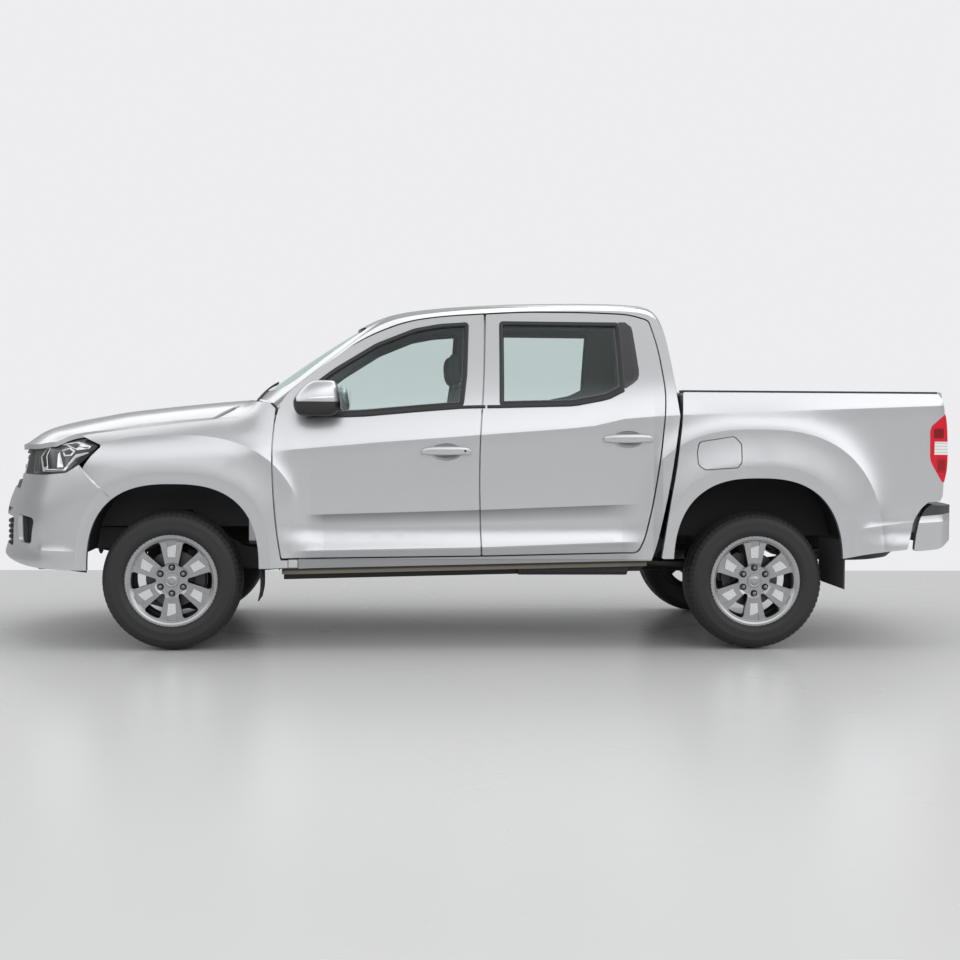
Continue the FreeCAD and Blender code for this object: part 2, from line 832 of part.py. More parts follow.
def door(outline, window, handle):
    """A left door: outer flange, inner box below the belt, window cut and pull."""
    x = (min(p[0] for p in outline) - 60.0, max(p[0] for p in outline) + 60.0)
    outer = side_layer(x, CAB_Z, 0.0, n.flange, 18, 26)
    outer = outer.common(side_prism(outline, -1100.0, -300.0, 8.0))
    inner_outline = grown(outline, -n.door_inset)
    inner = side_layer(x, CAB_Z, n.flange - 1.0, n.door_thickness, 18, 26)
    inner = inner.common(side_prism(inner_outline, -1100.0, -300.0, 24.0))
    inner = inner.common(block(x, (-1100, 0), (300, BELT_CUT)))
    solid = outer.fuse(inner).cut(side_prism(window, -1100.0, -300.0, 15.0))
    return handle_cup(solid.removeSplitter(), *handle)


def door_glass(window):
    """The pane that fills a left door's window."""
    x = (min(p[0] for p in window) - 80.0, max(p[0] for p in window) + 80.0)
    pane = side_layer(x, CAB_Z, n.glass_depth, n.glass_depth + n.glass_thickness, 16, 26)
    return pane.common(side_prism(grown(window, -n.fit), -1100.0, -300.0, 15.0))


def other_side(shape):
    """The same piece on the right side."""
    return shape.mirror(Vector(0, 0, 0), Vector(0, 1, 0))


FENDER_TOP = (
    (-1070, 1296), (-1105, 1330), (-1222, 1336), (-1289, 1300), (-1389, 1235), (-1544, 1222),
    (-1742, 1194), (-2071, 1152), (-2100, 1142),
)
FENDER_NOSE = ((-2086, 1138, 3), (-1990, 1098, 4), (-1990, 1085, 4), (-2046, 1030), (-2084, 972, 15),
               (-1940, 828))


def front_fender():
    """The left front fender: a skin round the wheel opening up to the hood seam."""
    rear = [(x - n.panel_gap, z) for x, z in DOOR_FRONT_EDGE]
    tail = [(-1900, 442), (-1140, 444), (-952, 448), (-952, 486), (-1036, 488)]
    outline = rear + list(FENDER_TOP) + list(FENDER_NOSE) + tail
    skin = side_layer(FENDER_X, FENDER_Z, 0.0, n.fender_skin, 30, 30)
    skin = skin.common(side_prism(outline, -1100.0, -300.0, 6.0))
    skin = skin.cut(hood_room())
    return largest(skin.cut(arch_prism(FRONT_ARCH, 0.0, -1100.0, -300.0)))


LAMP = (
    (-2620, 1080), (-2394, 1094), (-2305, 1110), (-2148, 1137, 25), (-2088, 1131, 25),
    (-1999, 1092, 8), (-2051, 1035), (-2116, 980), (-2170, 948, 20), (-2306, 933), (-2620, 925),
)
LAMP_INNER_Y = 500.0
APRON_X = -2255.0
BUFFER_Y = 420.0


def headlamp():
    """The left headlamp: a closed block between fender, hood, bumper and grille."""
    solid = nose_layer(2.0, n.lamp_depth)
    solid = solid.common(side_prism(grown(LAMP, -n.fit), -1100.0, -LAMP_INNER_Y, 8.0))
    under_hood = hood_layer(n.hood_thickness + 6.0, 900.0)
    behind = block((APRON_X - n.fit, -1900.0), (-660.0, 0.0), (600.0, 1200.0))
    return largest(solid.common(under_hood).cut(behind))


def front_bumper():
    """Bumper cover: a hollow shell across the nose with its air openings."""
    shell = nose_layer(0.0, n.nose_wall)
    shell = shell.common(block((-2800.0, -1930.0), (-1000.0, 1000.0), (400.0, 985.0)))
    shell = shell.cut(side_prism(CHIN, -1100.0, 1100.0, 20.0))
    for side in (-1, 1):
        far = 1100.0 * side
        near = LAMP_INNER_Y * side
        low, high = min(far, near), max(far, near)
        shell = shell.cut(side_prism(LAMP, low, high, 8.0))
        shell = shell.cut(block((-2800.0, -1900.0), (low, high), (1040.0, 1200.0)))
        shell = shell.cut(side_prism(FENDER_CUT, low, high, 4.0))
        low, high = sorted((300.0 * side, far))
        shell = shell.cut(arch_prism(FRONT_ARCH, 0.0, low, high))
        fog = ((610 * side, 560), (770 * side, 560), (800 * side, 700), (600 * side, 715))
        shell = shell.cut(front_prism(fog, -2800.0, -2200.0, 25.0))
    shell = shell.cut(front_prism(GRILLE, -2800.0, -2300.0, 20.0))
    shell = shell.cut(front_prism(LOWER_INTAKE, -2800.0, -2300.0, 25.0))
    return largest(shell)


FENDER_CUT = (
    (-2100, 974), (-1944, 813, 4), (-1880, 690), (-1700, 690), (-1700, 1100), (-2000, 1100),
)
GRILLE = ((-470, 842), (470, 842), (496, 1060), (496, 1200), (-496, 1200), (-496, 1060))
LOWER_INTAKE = ((-470, 524), (470, 524), (516, 690), (-516, 690))
CHIN = (
    (-2800, 300), (-2800, 486), (-2690, 478), (-2600, 458), (-2450, 441), (-2250, 433),
    (-1900, 430), (-1900, 300),
)
GRILLE_MIDDLE = ((-430, 878), (430, 878), (448, 1036), (-448, 1036))
GRILLE_SLATS = (905.0, 958.0, 1011.0)


def grille():
    """Grille: a bright surround with slats across the opening."""
    hood_edge = hood_layer(n.hood_thickness + 6.0, 900.0)
    opening = front_prism(grown(GRILLE, -n.fit), -2800.0, -2300.0, 20.0)
    middle = front_prism(GRILLE_MIDDLE, -2800.0, -2300.0, 14.0)
    frame = nose_plate(8.0, 52.0).common(opening).common(hood_edge).cut(middle)
    parts = []
    for height in GRILLE_SLATS:
        bar = block((-2800, -2300), (-455, 455), (height - 9.0, height + 9.0))
        parts.append(nose_plate(20.0, 30.0).common(bar))
    screen = block((-2800, -2300), (-455, 455), (870.0, 1042.0))
    parts.append(nose_plate(50.0, 8.0).common(screen))
    return largest(frame.fuse(parts).removeSplitter())


HOOD_SIDE_X = (-2120, -1900, -1650, -1405, -1300, -1240)
FENDER_EDGE = 12.0
HOOD_BACK = ((-1236, -400), (-1250, 0))
HOOD_NOSE = ((-2556, 0), (-2530, -260), (-2494, -430), (-2440, -600), (-2356, -740), (-2240, -805))


def hood_outline():
    """The hood's plan, inside the top edges of the fenders."""
    seam = sorted(FENDER_TOP)
    edge = n.panel_gap + FENDER_EDGE
    side = [(x, -half_width(x, along(x, seam)) + edge) for x in HOOD_SIDE_X]
    half_plan = list(HOOD_NOSE) + side + list(HOOD_BACK)
    return half_plan + [(x, -y) for x, y in reversed(half_plan[1:-1])]


def hood_room():
    """The space that the hood needs with its gap, to be cut out of a neighbour."""
    margin = n.panel_gap
    room = hood_layer(-60.0, 60.0 + n.hood_thickness + margin)
    return room.common(plan_prism(grown(hood_outline(), margin), 900.0, 1500.0, 30.0))


def hood():
    """Hood panel, curved both ways, clear of the fenders by the panel gap."""
    return hood_layer(0.0, n.hood_thickness).common(plan_prism(hood_outline(), 900.0, 1500.0, 30.0))


def front_apron():
    """Inner fender walls with their shelves and the panel that holds the lamps."""
    reach = (APRON_X, -1240.0 - n.fit)
    wall = block(reach, (-WHEEL_WALL_Y, -WHEEL_WALL_Y + 10.0), (640.0, 1080.0))
    shelf = block((-1985.0, reach[1]), (-1000.0, -WHEEL_WALL_Y + 10.0), (1072.0, 1080.0))
    side = side_core(FENDER_X, FENDER_Z, n.fender_skin + n.fit, 30, 30)
    shelf = shelf.common(side)
    half = wall.fuse(shelf)
    panel = block((APRON_X, APRON_X + 20.0), (-640.0, 1.0), (640.0, 1040.0))
    panel = panel.cut(front_prism(((-430, 700), (30, 700), (30, 980), (-430, 980)), -2400, -2100))
    foot = block((APRON_X, APRON_X + 60.0), (-n.rail_y - 30.0, -n.rail_y + 30.0), (630.0 + n.fit, 655.0))
    buffer = Part.makeCylinder(12.0, 200.0, Vector(APRON_X + 10.0, -BUFFER_Y, 1030.0))
    buffer = buffer.cut(hood_layer(-200.0, 200.0 + n.hood_thickness + n.fit))
    half = half.fuse([panel, foot, min(buffer.Solids, key=lambda solid: solid.BoundBox.ZMin)])
    tower = block(
        (n.front_axle_x - 71.0, n.front_axle_x + 71.0), (-700.0, -400.0),
        (TOWER_Z - 120.0, TOWER_Z + 32.0),
    )
    return whole(half.cut(tower))


def arch_liner():
    """The left front arch liner: a curved shell above the wheel."""
    outer = arch_prism(FRONT_ARCH, LINER_DEPTH, -920.0, -WHEEL_WALL_Y - n.fit)
    inner = arch_prism(FRONT_ARCH, LINER_DEPTH - 8.0, -921.0, -WHEEL_WALL_Y + 10.0)
    shell = outer.cut(inner).common(block((-2400, -900), (-920, -500), (520, 1200)))
    shell = shell.common(side_core(FENDER_X, FENDER_Z, n.fender_skin + n.fit, 30, 30))
    return largest(shell.cut(nose_layer(0.0, n.nose_wall + n.fit)))


def rear_arch_liner():
    """The left rear arch liner: a curved shell above the wheel with its inner wall."""
    inner_y = -n.wheel_box_half_width - 22.0
    outer = arch_prism(REAR_ARCH, 40.0 - n.fit, -920.0, inner_y - n.fit)
    inner = arch_prism(REAR_ARCH, 32.0, -921.0, inner_y - 9.0)
    shell = outer.cut(inner).common(block((900, 2300), (-920, -500), (600, 1200)))
    return largest(shell.common(side_core(BED_X, BED_Z, n.bed_skin + n.fit, 34, 26)))


FLAP_SHIFT = 4.0


def front_flap():
    """The left front mud flap: a strip that follows the arch and then hangs straight."""
    edge = (
        (-1196, 579), (-1160, 500), (-1142, 436), (-1141, 329), (-1155, 268), (-1163, 268),
        (-1149, 331), (-1150, 436), (-1168, 500), (-1204, 579),
    )
    flap = side_prism([(x + FLAP_SHIFT, z) for x, z in edge], -930.0, -690.0, 6.0)
    flap = flap.common(block((-1300, -1000), (-930, -690), (200, 480 - n.fit)))
    inside = side_core((-1300.0, -1000.0), (200.0, 700.0), n.fender_skin + n.fit, 6, 14)
    return largest(flap.common(inside))


def rear_flap():
    """The left rear mud flap: a plate set askew behind the wheel, cut slanting at its foot."""
    plan = ((2020, -930), (2029, -930), (1949, -690), (1940, -690))
    plate = plan_prism(plan, 320.0, 600.0, 2.0)
    foot = side_prism(((1900, 300), (2060, 300), (2060, 318), (1900, 372)), -1000.0, -500.0, 1.0)
    inside = side_core((1900.0, 2100.0), (200.0, 700.0), n.bed_skin + n.fit, 6, 14)
    return largest(plate.common(inside).cut(foot))


def build_body():
    """All painted and glazed pieces of the body."""
    cab = cab_shell()
    below_floor = block((-1300.0, 1300.0), (-1100.0, 1100.0), (300.0, n.floor_bottom))
    freeform("cab_shell", largest(cab.cut(below_floor)))
    freeform("cab_sills", cab.common(below_floor))
    freeform("cab_glass", cab_glass())
    freeform("front_fenders", pair(front_fender()))
    freeform("hood", hood())
    freeform("front_apron", front_apron())
    freeform("front_bumper", front_bumper())
    freeform("grille", grille())
    freeform("headlamps", pair(headlamp()))
    doors = (
        ("front", front_door_outline(), FRONT_WINDOW, (-290.0, -24.0, 1070.0)),
        ("rear", rear_door_outline(), REAR_WINDOW, (689.0, 955.0, 1143.0)),
    )
    for where, outline, window, handle in doors:
        panel = door(outline, window, handle)
        pane = door_glass(window)
        freeform("door_" + where + "_left", panel)
        freeform("door_" + where + "_right", other_side(panel))
        freeform("glass_" + where + "_left", pane)
        freeform("glass_" + where + "_right", other_side(pane))
    liner = arch_liner()
    freeform("arch_liners", Part.makeCompound(pair(liner).Solids + pair(front_flap()).Solids))
    freeform("rear_arch_liners", pair(rear_arch_liner()))


# Load bed
BED_FRONT = ((1119, 1400), (1113, 1213), (1086, 986), (1054, 816), (1014, 560), (1004, 500))
BED_OUTLINE = (
    (1090, 500), (1500, 480), (2000, 500), (2111, 521), (2371, 548), (2393, 628), (2411, 714),
    (2444, 774), (2484, 808), (2552, 814, 8), (2568, 841), (2572, 1000), (2566, 1310), (2552, 1372),
    (2528, 1400),
)
TAIL_LAMP = (
    (2640, 1290), (2566, 1289), (2493, 1225, 20), (2484, 1200), (2488, 1046), (2501, 1013),
    (2560, 920), (2640, 908),
)
FUEL_DOOR = (
    (1201, 1079, 25), (1212, 1130, 25), (1400, 1160, 30), (1437, 1120, 25), (1438, 1026, 25),
    (1418, 996, 20), (1240, 984, 30), (1206, 1010, 25),
)
BED_X = (960.0, 2680.0)
BED_Z = (420.0, 1460.0)


def load_bed():
    """Load bed: double side walls, front wall, floor, wheel boxes and lamp pockets."""
    outline = [(x + n.bed_gap - 8.0, z) for x, z in BED_FRONT] + list(BED_OUTLINE)
    half = side_core(BED_X, BED_Z, 0.0, 34, 26)
    half = half.common(side_prism(outline, -1100.0, 1.0, 10.0))
    cargo = block((1185.0, 2700.0), (-n.bed_inner_half_width, 1.0), (n.bed_floor, 1500.0))
    floor_bottom = n.bed_floor - n.bed_floor_thickness
    under = side_core(BED_X, BED_Z, n.bed_skin, 34, 26)
    under = under.common(block((900.0, 2700.0), (-1000.0, 1.0), (300.0, floor_bottom)))
    half = half.cut(cargo).cut(under)
    tail = block((2524.0, 2700.0), (-n.tailgate_half_width - 7.0, 1.0), (400.0, 1500.0))
    half = half.cut(tail)
    side = -n.bed_inner_half_width - 60.0
    box_outer = arch_prism(REAR_ARCH, 62.0, side, -n.wheel_box_half_width)
    box_outer = box_outer.common(block((900, 2700), (-1100, 0), (floor_bottom, 1300)))
    wheel_room = arch_prism(REAR_ARCH, 40.0, -1100.0, -n.wheel_box_half_width - 22.0)
    skin_cut = arch_prism(REAR_ARCH, 0.0, -1100.0, -850.0)
    inner_room = wheel_room.common(side_core(BED_X, BED_Z, n.bed_skin, 34, 26))
    half = half.fuse(box_outer).cut(inner_room).cut(skin_cut)
    lamp = side_prism(grown(TAIL_LAMP, n.fit), -1100.0, -n.tailgate_half_width - 6.0, 6.0)
    lamp = lamp.common(block((2400, 2700), (-1100, 0), (800, 1400)))
    half = half.cut(lamp)
    for y in FLOOR_GROOVES:
        half = half.cut(block(
            (1235.0, 2470.0), (-y - 22.0, 22.0 - y), (n.bed_floor - GROOVE_DEPTH, n.bed_floor + 1.0)
        ))
    bed = whole(largest(half))
    pocket_cut = side_layer((1100.0, 1550.0), (900.0, 1250.0), -30.0, 40.0, 12, 12)
    pocket_cut = pocket_cut.common(side_prism(grown(FUEL_DOOR, 5.0), -1100.0, -300.0, 20.0))
    buffer = side_layer((1100.0, 1550.0), (900.0, 1250.0), 8.0 + n.fit, 50.0, 12, 12)
    buffer = buffer.common(side_prism(
        ((1405, 1060), (1421, 1060), (1421, 1090), (1405, 1090)), -1100.0, -300.0, 3.0
    ))
    bed = bed.cut(pocket_cut).fuse(buffer)
    for side in (-1, 1):
        inner, outer = n.tailgate_half_width + 7.0, n.tailgate_half_width + 34.0
        low, high = sorted((inner * side, outer * side))
        bracket = side_prism(
            ((2524, 838, 8), (2566, 838, 8), (2566, 900), (2524, 900)), low, high, 2.0
        )
        bore = Part.makeCylinder(
            GATE_PIN + n.fit, 60.0, Vector(GATE_AXIS_X, side * (inner - 5.0), GATE_AXIS_Z),
            Vector(0, side, 0),
        )
        bed = bed.fuse(bracket).cut(bore)
    return bed.removeSplitter()


FLOOR_GROOVES = (100.0, 200.0, 300.0, 400.0, 500.0)
GROOVE_DEPTH = 6.0
GATE_PIN = 8.0
GATE_AXIS_X = n.tailgate_x + 7.0
GATE_AXIS_Z = n.tailgate_bottom + 16.0


def fuel_door():
    """The lid of the filler, on the left bedside."""
    lid = side_layer((1100.0, 1550.0), (900.0, 1250.0), 0.0, 8.0, 12, 12)
    return lid.common(side_prism(FUEL_DOOR, -1100.0, -300.0, 20.0))


def bed_rail_cap():
    """The dark strip on top of the left side wall."""
    top = n.bed_rail + n.rail_cap
    plan = []
    for x in spread(1124.0, 2526.0, 5):
        plan.append((x, -half_width(x, n.bed_rail) + 2.0))
    plan += [(2526.0, -n.bed_inner_half_width + 4.0), (1124.0, -n.bed_inner_half_width + 4.0)]
    return plan_prism(plan, n.bed_rail, top, 8.0)


def tail_lamp():
    """The left tail lamp, a closed block that wraps the corner."""
    lamp = side_prism(TAIL_LAMP, -1100.0, -n.tailgate_half_width - 10.0, 6.0)
    lamp = lamp.common(side_core(BED_X, BED_Z, 0.0, 34, 26))
    front = side_prism((
        (2400, 860), (2570, 905), (2588, 985), (2590, 1060), (2584, 1200), (2574, 1284),
        (2540, 1330), (2400, 1330),
    ), -1100.0, -300.0, 10.0)
    return lamp.common(front)


def tailgate():
    """Tailgate with a lip along its top and a pull recess."""
    x0 = n.tailgate_x
    x1 = x0 + n.tailgate_thickness
    bottom = n.tailgate_bottom
    top = n.bed_rail + n.rail_cap
    profile = (
        (x0, bottom + 12, 4), (x0 + 10, bottom, 4), (x1 - 24, bottom, 14), (x1 - 10, bottom + 60),
        (x1 - 4, bottom + 170), (x1 - 10, bottom + 330), (x1 - 14, top - 90),
        (x1 + 2, top - 30, 12), (x1 - 4, top, 8), (x0, top, 6),
    )
    gate = side_prism(profile, -n.tailgate_half_width, n.tailgate_half_width, 40.0)
    pull = front_prism(((-95, 1262), (95, 1262), (95, 1338), (-95, 1338)), x1 - 34.0, x1 + 40, 14.0)
    gate = gate.cut(pull)
    flap = front_prism(((-80, 1296), (80, 1296), (80, 1340), (-80, 1340)), x1 - 40.0, x1 - 17, 8.0)
    pins = [
        Part.makeCylinder(
            GATE_PIN, 50.0, Vector(GATE_AXIS_X, side * (n.tailgate_half_width - 20.0), GATE_AXIS_Z),
            Vector(0, side, 0),
        )
        for side in (-1, 1)
    ]
    return gate.fuse([flap] + pins).removeSplitter()


def rear_bumper():
    """Rear bumper: a wrapped face with step pads and a lower middle."""
    plan = [
        (2400, -900, 30), (2560, -905, 60), (2640, -820, 90), (2668, -600), (2682, 0),
        (2668, 600), (2640, 820, 90), (2560, 905, 60), (2400, 900, 30), (2400, 868), (2520, 850),
        (2560, 760), (2575, 0), (2560, -760), (2520, -850), (2400, -868),
    ]
    body = plan_prism(plan, 540.0, 790.0, 20.0)
    profile = side_prism((
        (2412, 536), (2422, 628), (2440, 714), (2470, 770), (2496, 790), (2700, 790), (2640, 600),
        (2560, 552),
    ), -1000.0, 1000.0, 15.0)
    body = body.common(profile)
    body = body.cut(block((2560, 2720), (-330, 330), (752, 900)))
    deck = plan_prism(
        ((2470, -820), (2600, -820), (2600, 820), (2470, 820)), 716.0, 736.0, 20.0
    )
    inner = block((2400, 2690), (-752, 752), (700, 745))
    deck = deck.common(inner)
    arms = [block((2440, 2582), (y - 30, y + 30), (610, 716)) for y in (-n.rail_y, n.rail_y)]
    return largest(body.fuse([deck] + arms).removeSplitter())


def build_load_bed():
    """The load bed with what closes it and hangs on it."""
    freeform("load_bed", load_bed())
    freeform("bed_rail_caps", pair(bed_rail_cap()))
    freeform("tailgate", tailgate())
    freeform("fuel_door", fuel_door())
    freeform("tail_lamps", pair(tail_lamp()))
    freeform("rear_bumper", rear_bumper())
    freeform("rear_mud_flaps", pair(rear_flap()))


# Frame and running gear
FRONT_RISE = 110.0
REAR_DROP = 20.0
BEAM_PLACES = (-190.0, 120.0)
BEAM_LENGTH = 70.0
ARM_THICKNESS = 24.0
TOWER_Z = 700.0
TOWER_REACH = 136.0
TOWER_LENGTH = 130.0
SPRING_Y = 545.0
SPRING_RADIUS = 45.0


def beam_bottom():
    """Height of the underside of the beams that carry the lower wishbones."""
    return s.tyre_radius - s.ball_spread - s.fit - ARM_THICKNESS - 6.0


def frame_rail():
    """The left rail with its kicks, cab mounts and spring hangers."""
    low = s.rail_bottom
    high = low + s.rail_height
    rise = s.rail_rise
    body = new_body("frame_rail")
    lower = [
        (-2440.0, low + FRONT_RISE), (-1440.0, low + FRONT_RISE), (-1260.0, low), (990.0, low),
        (1210.0, low + rise), (1900.0, low + rise), (2060.0, low + rise - REAR_DROP),
        (2440.0, low + rise - REAR_DROP),
    ]
    upper = [(x, z + s.rail_height) for x, z in reversed(lower)]
    pad(body, "XZ_Plane", [lower + upper], s.rail_width, s.rail_y - s.rail_width / 2)
    parts = [body]
    for number, x in enumerate((-1000.0, 200.0, 820.0), start=1):
        parts.append(cylinder(
            "cab_mount_%d" % number, 28.0, s.floor_bottom - high + 4.0,
            (x, -s.rail_y, high - 4.0), (0, 0, 1),
        ))
    inner = s.rail_y + s.rail_width / 2 - 4.0
    outer = s.spring_y + s.spring_width / 2 + 10.0
    for number, (x, z) in enumerate(((900.0, low + 70.0), (2120.0, low + rise - 30.0)), start=1):
        parts.append(box(
            "spring_hanger_%d" % number, (56.0, outer - inner, 66.0), (x - 28.0, -outer, z)
        ))
    return parts


def suspension_brackets():
    """The left drop plates and spring tower, which carry the front suspension."""
    rail_face = s.rail_y + s.rail_width / 2
    axis = s.front_axle_x
    bottom = beam_bottom()
    parts = []
    for number, place in enumerate(BEAM_PLACES, start=1):
        parts.append(box(
            "drop_plate_%d" % number,
            (BEAM_LENGTH, s.rail_width, s.rail_bottom + FRONT_RISE + 10.0 - bottom),
            (axis + place, -rail_face, bottom),
        ))
    parts.append(box(
        "spring_tower", (TOWER_LENGTH, TOWER_REACH + 0.0, 26.0),
        (axis - TOWER_LENGTH / 2, -(rail_face + TOWER_REACH - 4.0), TOWER_Z),
    ))
    parts.append(box(
        "tower_leg", (TOWER_LENGTH, s.rail_width, 130.0),
        (axis - TOWER_LENGTH / 2, -rail_face, TOWER_Z - 104.0),
    ))
    return parts


EYE_X = -2345.0
EYE_Z = 402.0
EYE_THICKNESS = 22.0
EYE_RADIUS = 16.0


def tow_eye():
    """Left towing eye: a drop plate that carries a level ring, bored upright."""
    body = new_body("tow_eye")
    bottom = EYE_Z - EYE_THICKNESS / 2
    near = s.rail_y - 33.0
    far = s.rail_y + 33.0
    pad(body, "XY_Plane", [[
        (EYE_X - 60.0, -far), (EYE_X, -far), (EYE_X + 33.0, -s.rail_y, 0), (EYE_X, -near),
        (EYE_X - 60.0, -near),
    ]], EYE_THICKNESS, bottom, circles=((EYE_X, -s.rail_y, EYE_RADIUS),))
    pad(body, "XZ_Plane", [[
        (EYE_X - 85.0, s.rail_bottom + FRONT_RISE + 6.0), (EYE_X - 72.0, bottom),
        (EYE_X - 40.0, bottom), (EYE_X - 30.0, bottom + EYE_THICKNESS),
        (EYE_X - 15.0, s.rail_bottom + FRONT_RISE + 6.0),
    ]], 44.0, s.rail_y - 22.0)
    return body


def frame_horn():
    """The short front end of the left rail, which reaches the bumper cover."""
    low = n.rail_bottom + FRONT_RISE
    half = n.rail_width / 2
    end = block(
        (-2640.0, -2436.0), (-n.rail_y - half, half - n.rail_y),
        (low + 10.0, low + n.rail_height - 10.0),
    )
    item = DOC.addObject("Part::Feature", "frame_horn")
    item.Shape = end.common(nose_core(n.nose_wall + n.fit))
    return item


def cross_members():
    """Cross members between the rails, bearers below the bed and the spare wheel's carrier."""
    high = s.rail_bottom + s.rail_height
    top = high + s.rail_rise
    inner = s.rail_y - s.rail_width / 2
    crossings = [
        (-2410.0, s.rail_bottom + FRONT_RISE + 30.0, 70.0, 60.0),
        (-1120.0, high - 8.0, 60.0, 26.0),
        (-360.0, high - 42.0, 80.0, 38.0),
        (600.0, high - 42.0, 80.0, 38.0),
        (1215.0, top - 90.0, 60.0, 60.0),
        (1800.0, top - 44.0, 60.0, 44.0),
        (CARRIER_X - 30.0, top - 44.0, 60.0, 24.0),
        (2380.0, top - 50.0, 60.0, 26.0),
    ]
    crossings += [
        (s.front_axle_x + place, beam_bottom(), BEAM_LENGTH, 40.0) for place in BEAM_PLACES
    ]
    parts = [
        box("cross_member_%d" % number, (length, inner * 2, height), (x, -inner, z))
        for number, (x, z, length, height) in enumerate(crossings, start=1)
    ]
    spare_top = s.spare_z + 20.0 + s.fit
    parts.append(cylinder(
        "spare_carrier", 30.0, top - 40.0 - spare_top, (CARRIER_X, 0.0, spare_top), (0, 0, 1)
    ))
    bed_bottom = s.bed_floor - s.bed_floor_thickness
    bearers = ((1220.0, top), (1620.0, top), (2080.0, top - REAR_DROP), (2360.0, top - REAR_DROP))
    for number, (x, z) in enumerate(bearers, start=1):
        parts.append(box(
            "bed_bearer_%d" % number, (70.0, s.rail_y * 2 + 60.0, bed_bottom - z),
            (x, -s.rail_y - 30.0, z),
        ))
    return fused("cross_members", parts)


CARRIER_X = 2190.0


def build_frame():
    """The ladder frame: two rails with what they carry, and what joins them."""
    rail = fused("left_rail", frame_rail() + suspension_brackets() + [tow_eye(), frame_horn()])
    both_sides("chassis_frame", rail)
    keep("cross_members", cross_members())


SPOKES = 6
INSET_DEPTH = 4.5
INSET_REACH = 60.0


def wheel_body(name, with_bore=True):
    """Rim with hub and brake disc turned about Y: six broad spokes with inset faces, at -Y."""
    body = new_body(name)
    half = s.rim_width / 2
    lip = s.rim_radius
    face = -half + 19.0
    revolve(body, "YZ_Plane", [
        (-half, lip), (-half + 12.0, lip), (-half + 20.0, lip - 22.0), (-half + 60.0, lip - 30.0),
        (half - 30.0, lip - 26.0), (half - 12.0, lip), (half, lip), (half, lip - 12.0),
        (half - 20.0, lip - 40.0), (-half + 74.0, lip - 44.0), (face + 39.0, lip - 50.0),
        (face + 45.0, lip - 90.0), (-10.0, 92.0), (20.0, 90.0), (20.0, s.disc_radius),
        (40.0, s.disc_radius), (40.0, s.hub_radius), (40.0, 0.0), (face + 22.0, 0.0),
        (face + 22.0, 30.0), (face + 12.0, 36.0), (face + 12.0, 82.0), (face + 4.0, 96.0),
        (face, lip - 70.0), (face - 3.0, lip - 34.0), (-half + 3.0, lip - 20.0),
        (-half, lip - 11.0),
    ], "H_Axis")
    window = pocket(body, "XZ_Plane", [[
        (94.0, -13.0), (84.0, 0.0, 0), (94.0, 13.0), (lip - 50.0, 45.5), (lip - 37.0, 41.0, 0),
        (lip - 33.0, 30.0), (lip - 30.0, 0.0, 0), (lip - 33.0, -30.0), (lip - 37.0, -41.0, 0),
        (lip - 50.0, -45.5),
    ]], 130.0, height=-10.0, reversed_cut=True)
    polar(body, window, SPOKES)
    inset = pocket(body, "XZ_Plane", [[
        (-19.0, 124.0), (19.0, 124.0), (26.0, lip - 30.0), (-26.0, lip - 30.0),
    ]], INSET_REACH, height=INSET_REACH - face - INSET_DEPTH)
    polar(body, inset, SPOKES)
    if with_bore:
        bore = ((0.0, 0.0, s.stub_radius + s.fit),)
        pocket(body, "XZ_Plane", [], 90.0, height=-41.0, reversed_cut=True, circles=bore)
    return body


def tyre_body(name):
    """Tyre turned about Y, seated on the rim."""
    body = new_body(name)
    half = s.tyre_width / 2
    rim_half = s.rim_width / 2
    tread = s.tyre_radius
    bead = s.rim_radius
    revolve(body, "YZ_Plane", [
        (-rim_half, bead + s.fit), (-half, bead + 52.0), (-half + 10.0, tread - 28.0),
        (-half + 36.0, tread), (half - 36.0, tread), (half - 10.0, tread - 28.0),
        (half, bead + 52.0), (rim_half, bead + s.fit),
    ], "H_Axis")
    return body


def place_wheel(body, x, side, z):
    """Place a wheel piece at an axle end, its face outwards."""
    if side > 0:
        body.Placement = Placement(Vector(0, 0, 0), Rotation(Vector(0, 0, 1), 180))
    move_to(body, x, HALF_TRACK * side, z)


def build_wheels():
    """Four wheels and the spare under the bed."""
    for end, x in (("front", s.front_axle_x), ("rear", REAR_AXLE_X)):
        for label, side in (("left", -1.0), ("right", 1.0)):
            name = end + "_" + label
            rim = wheel_body("rim_" + name)
            place_wheel(rim, x, side, s.tyre_radius)
            keep("rim_" + name, rim)
            tyre = tyre_body("tyre_" + name)
            place_wheel(tyre, x, side, s.tyre_radius)
            keep("tyre_" + name, tyre)
    spare = new_body("spare_wheel")
    half = s.tyre_width / 2
    revolve(spare, "XZ_Plane", [
        (0.0, -20.0), (120.0, -20.0), (s.rim_radius, -half + 20.0), (s.rim_radius + 52.0, -half),
        (s.tyre_radius - 28.0, -half + 10.0), (s.tyre_radius, -half + 36.0),
        (s.tyre_radius, half - 36.0), (s.tyre_radius - 28.0, half - 10.0),
        (s.rim_radius + 52.0, half), (s.rim_radius, half - 20.0), (120.0, 20.0), (0.0, 20.0),
    ], "V_Axis")
    move_to(spare, CARRIER_X, 0.0, s.spare_z)
    keep("spare_wheel", spare)


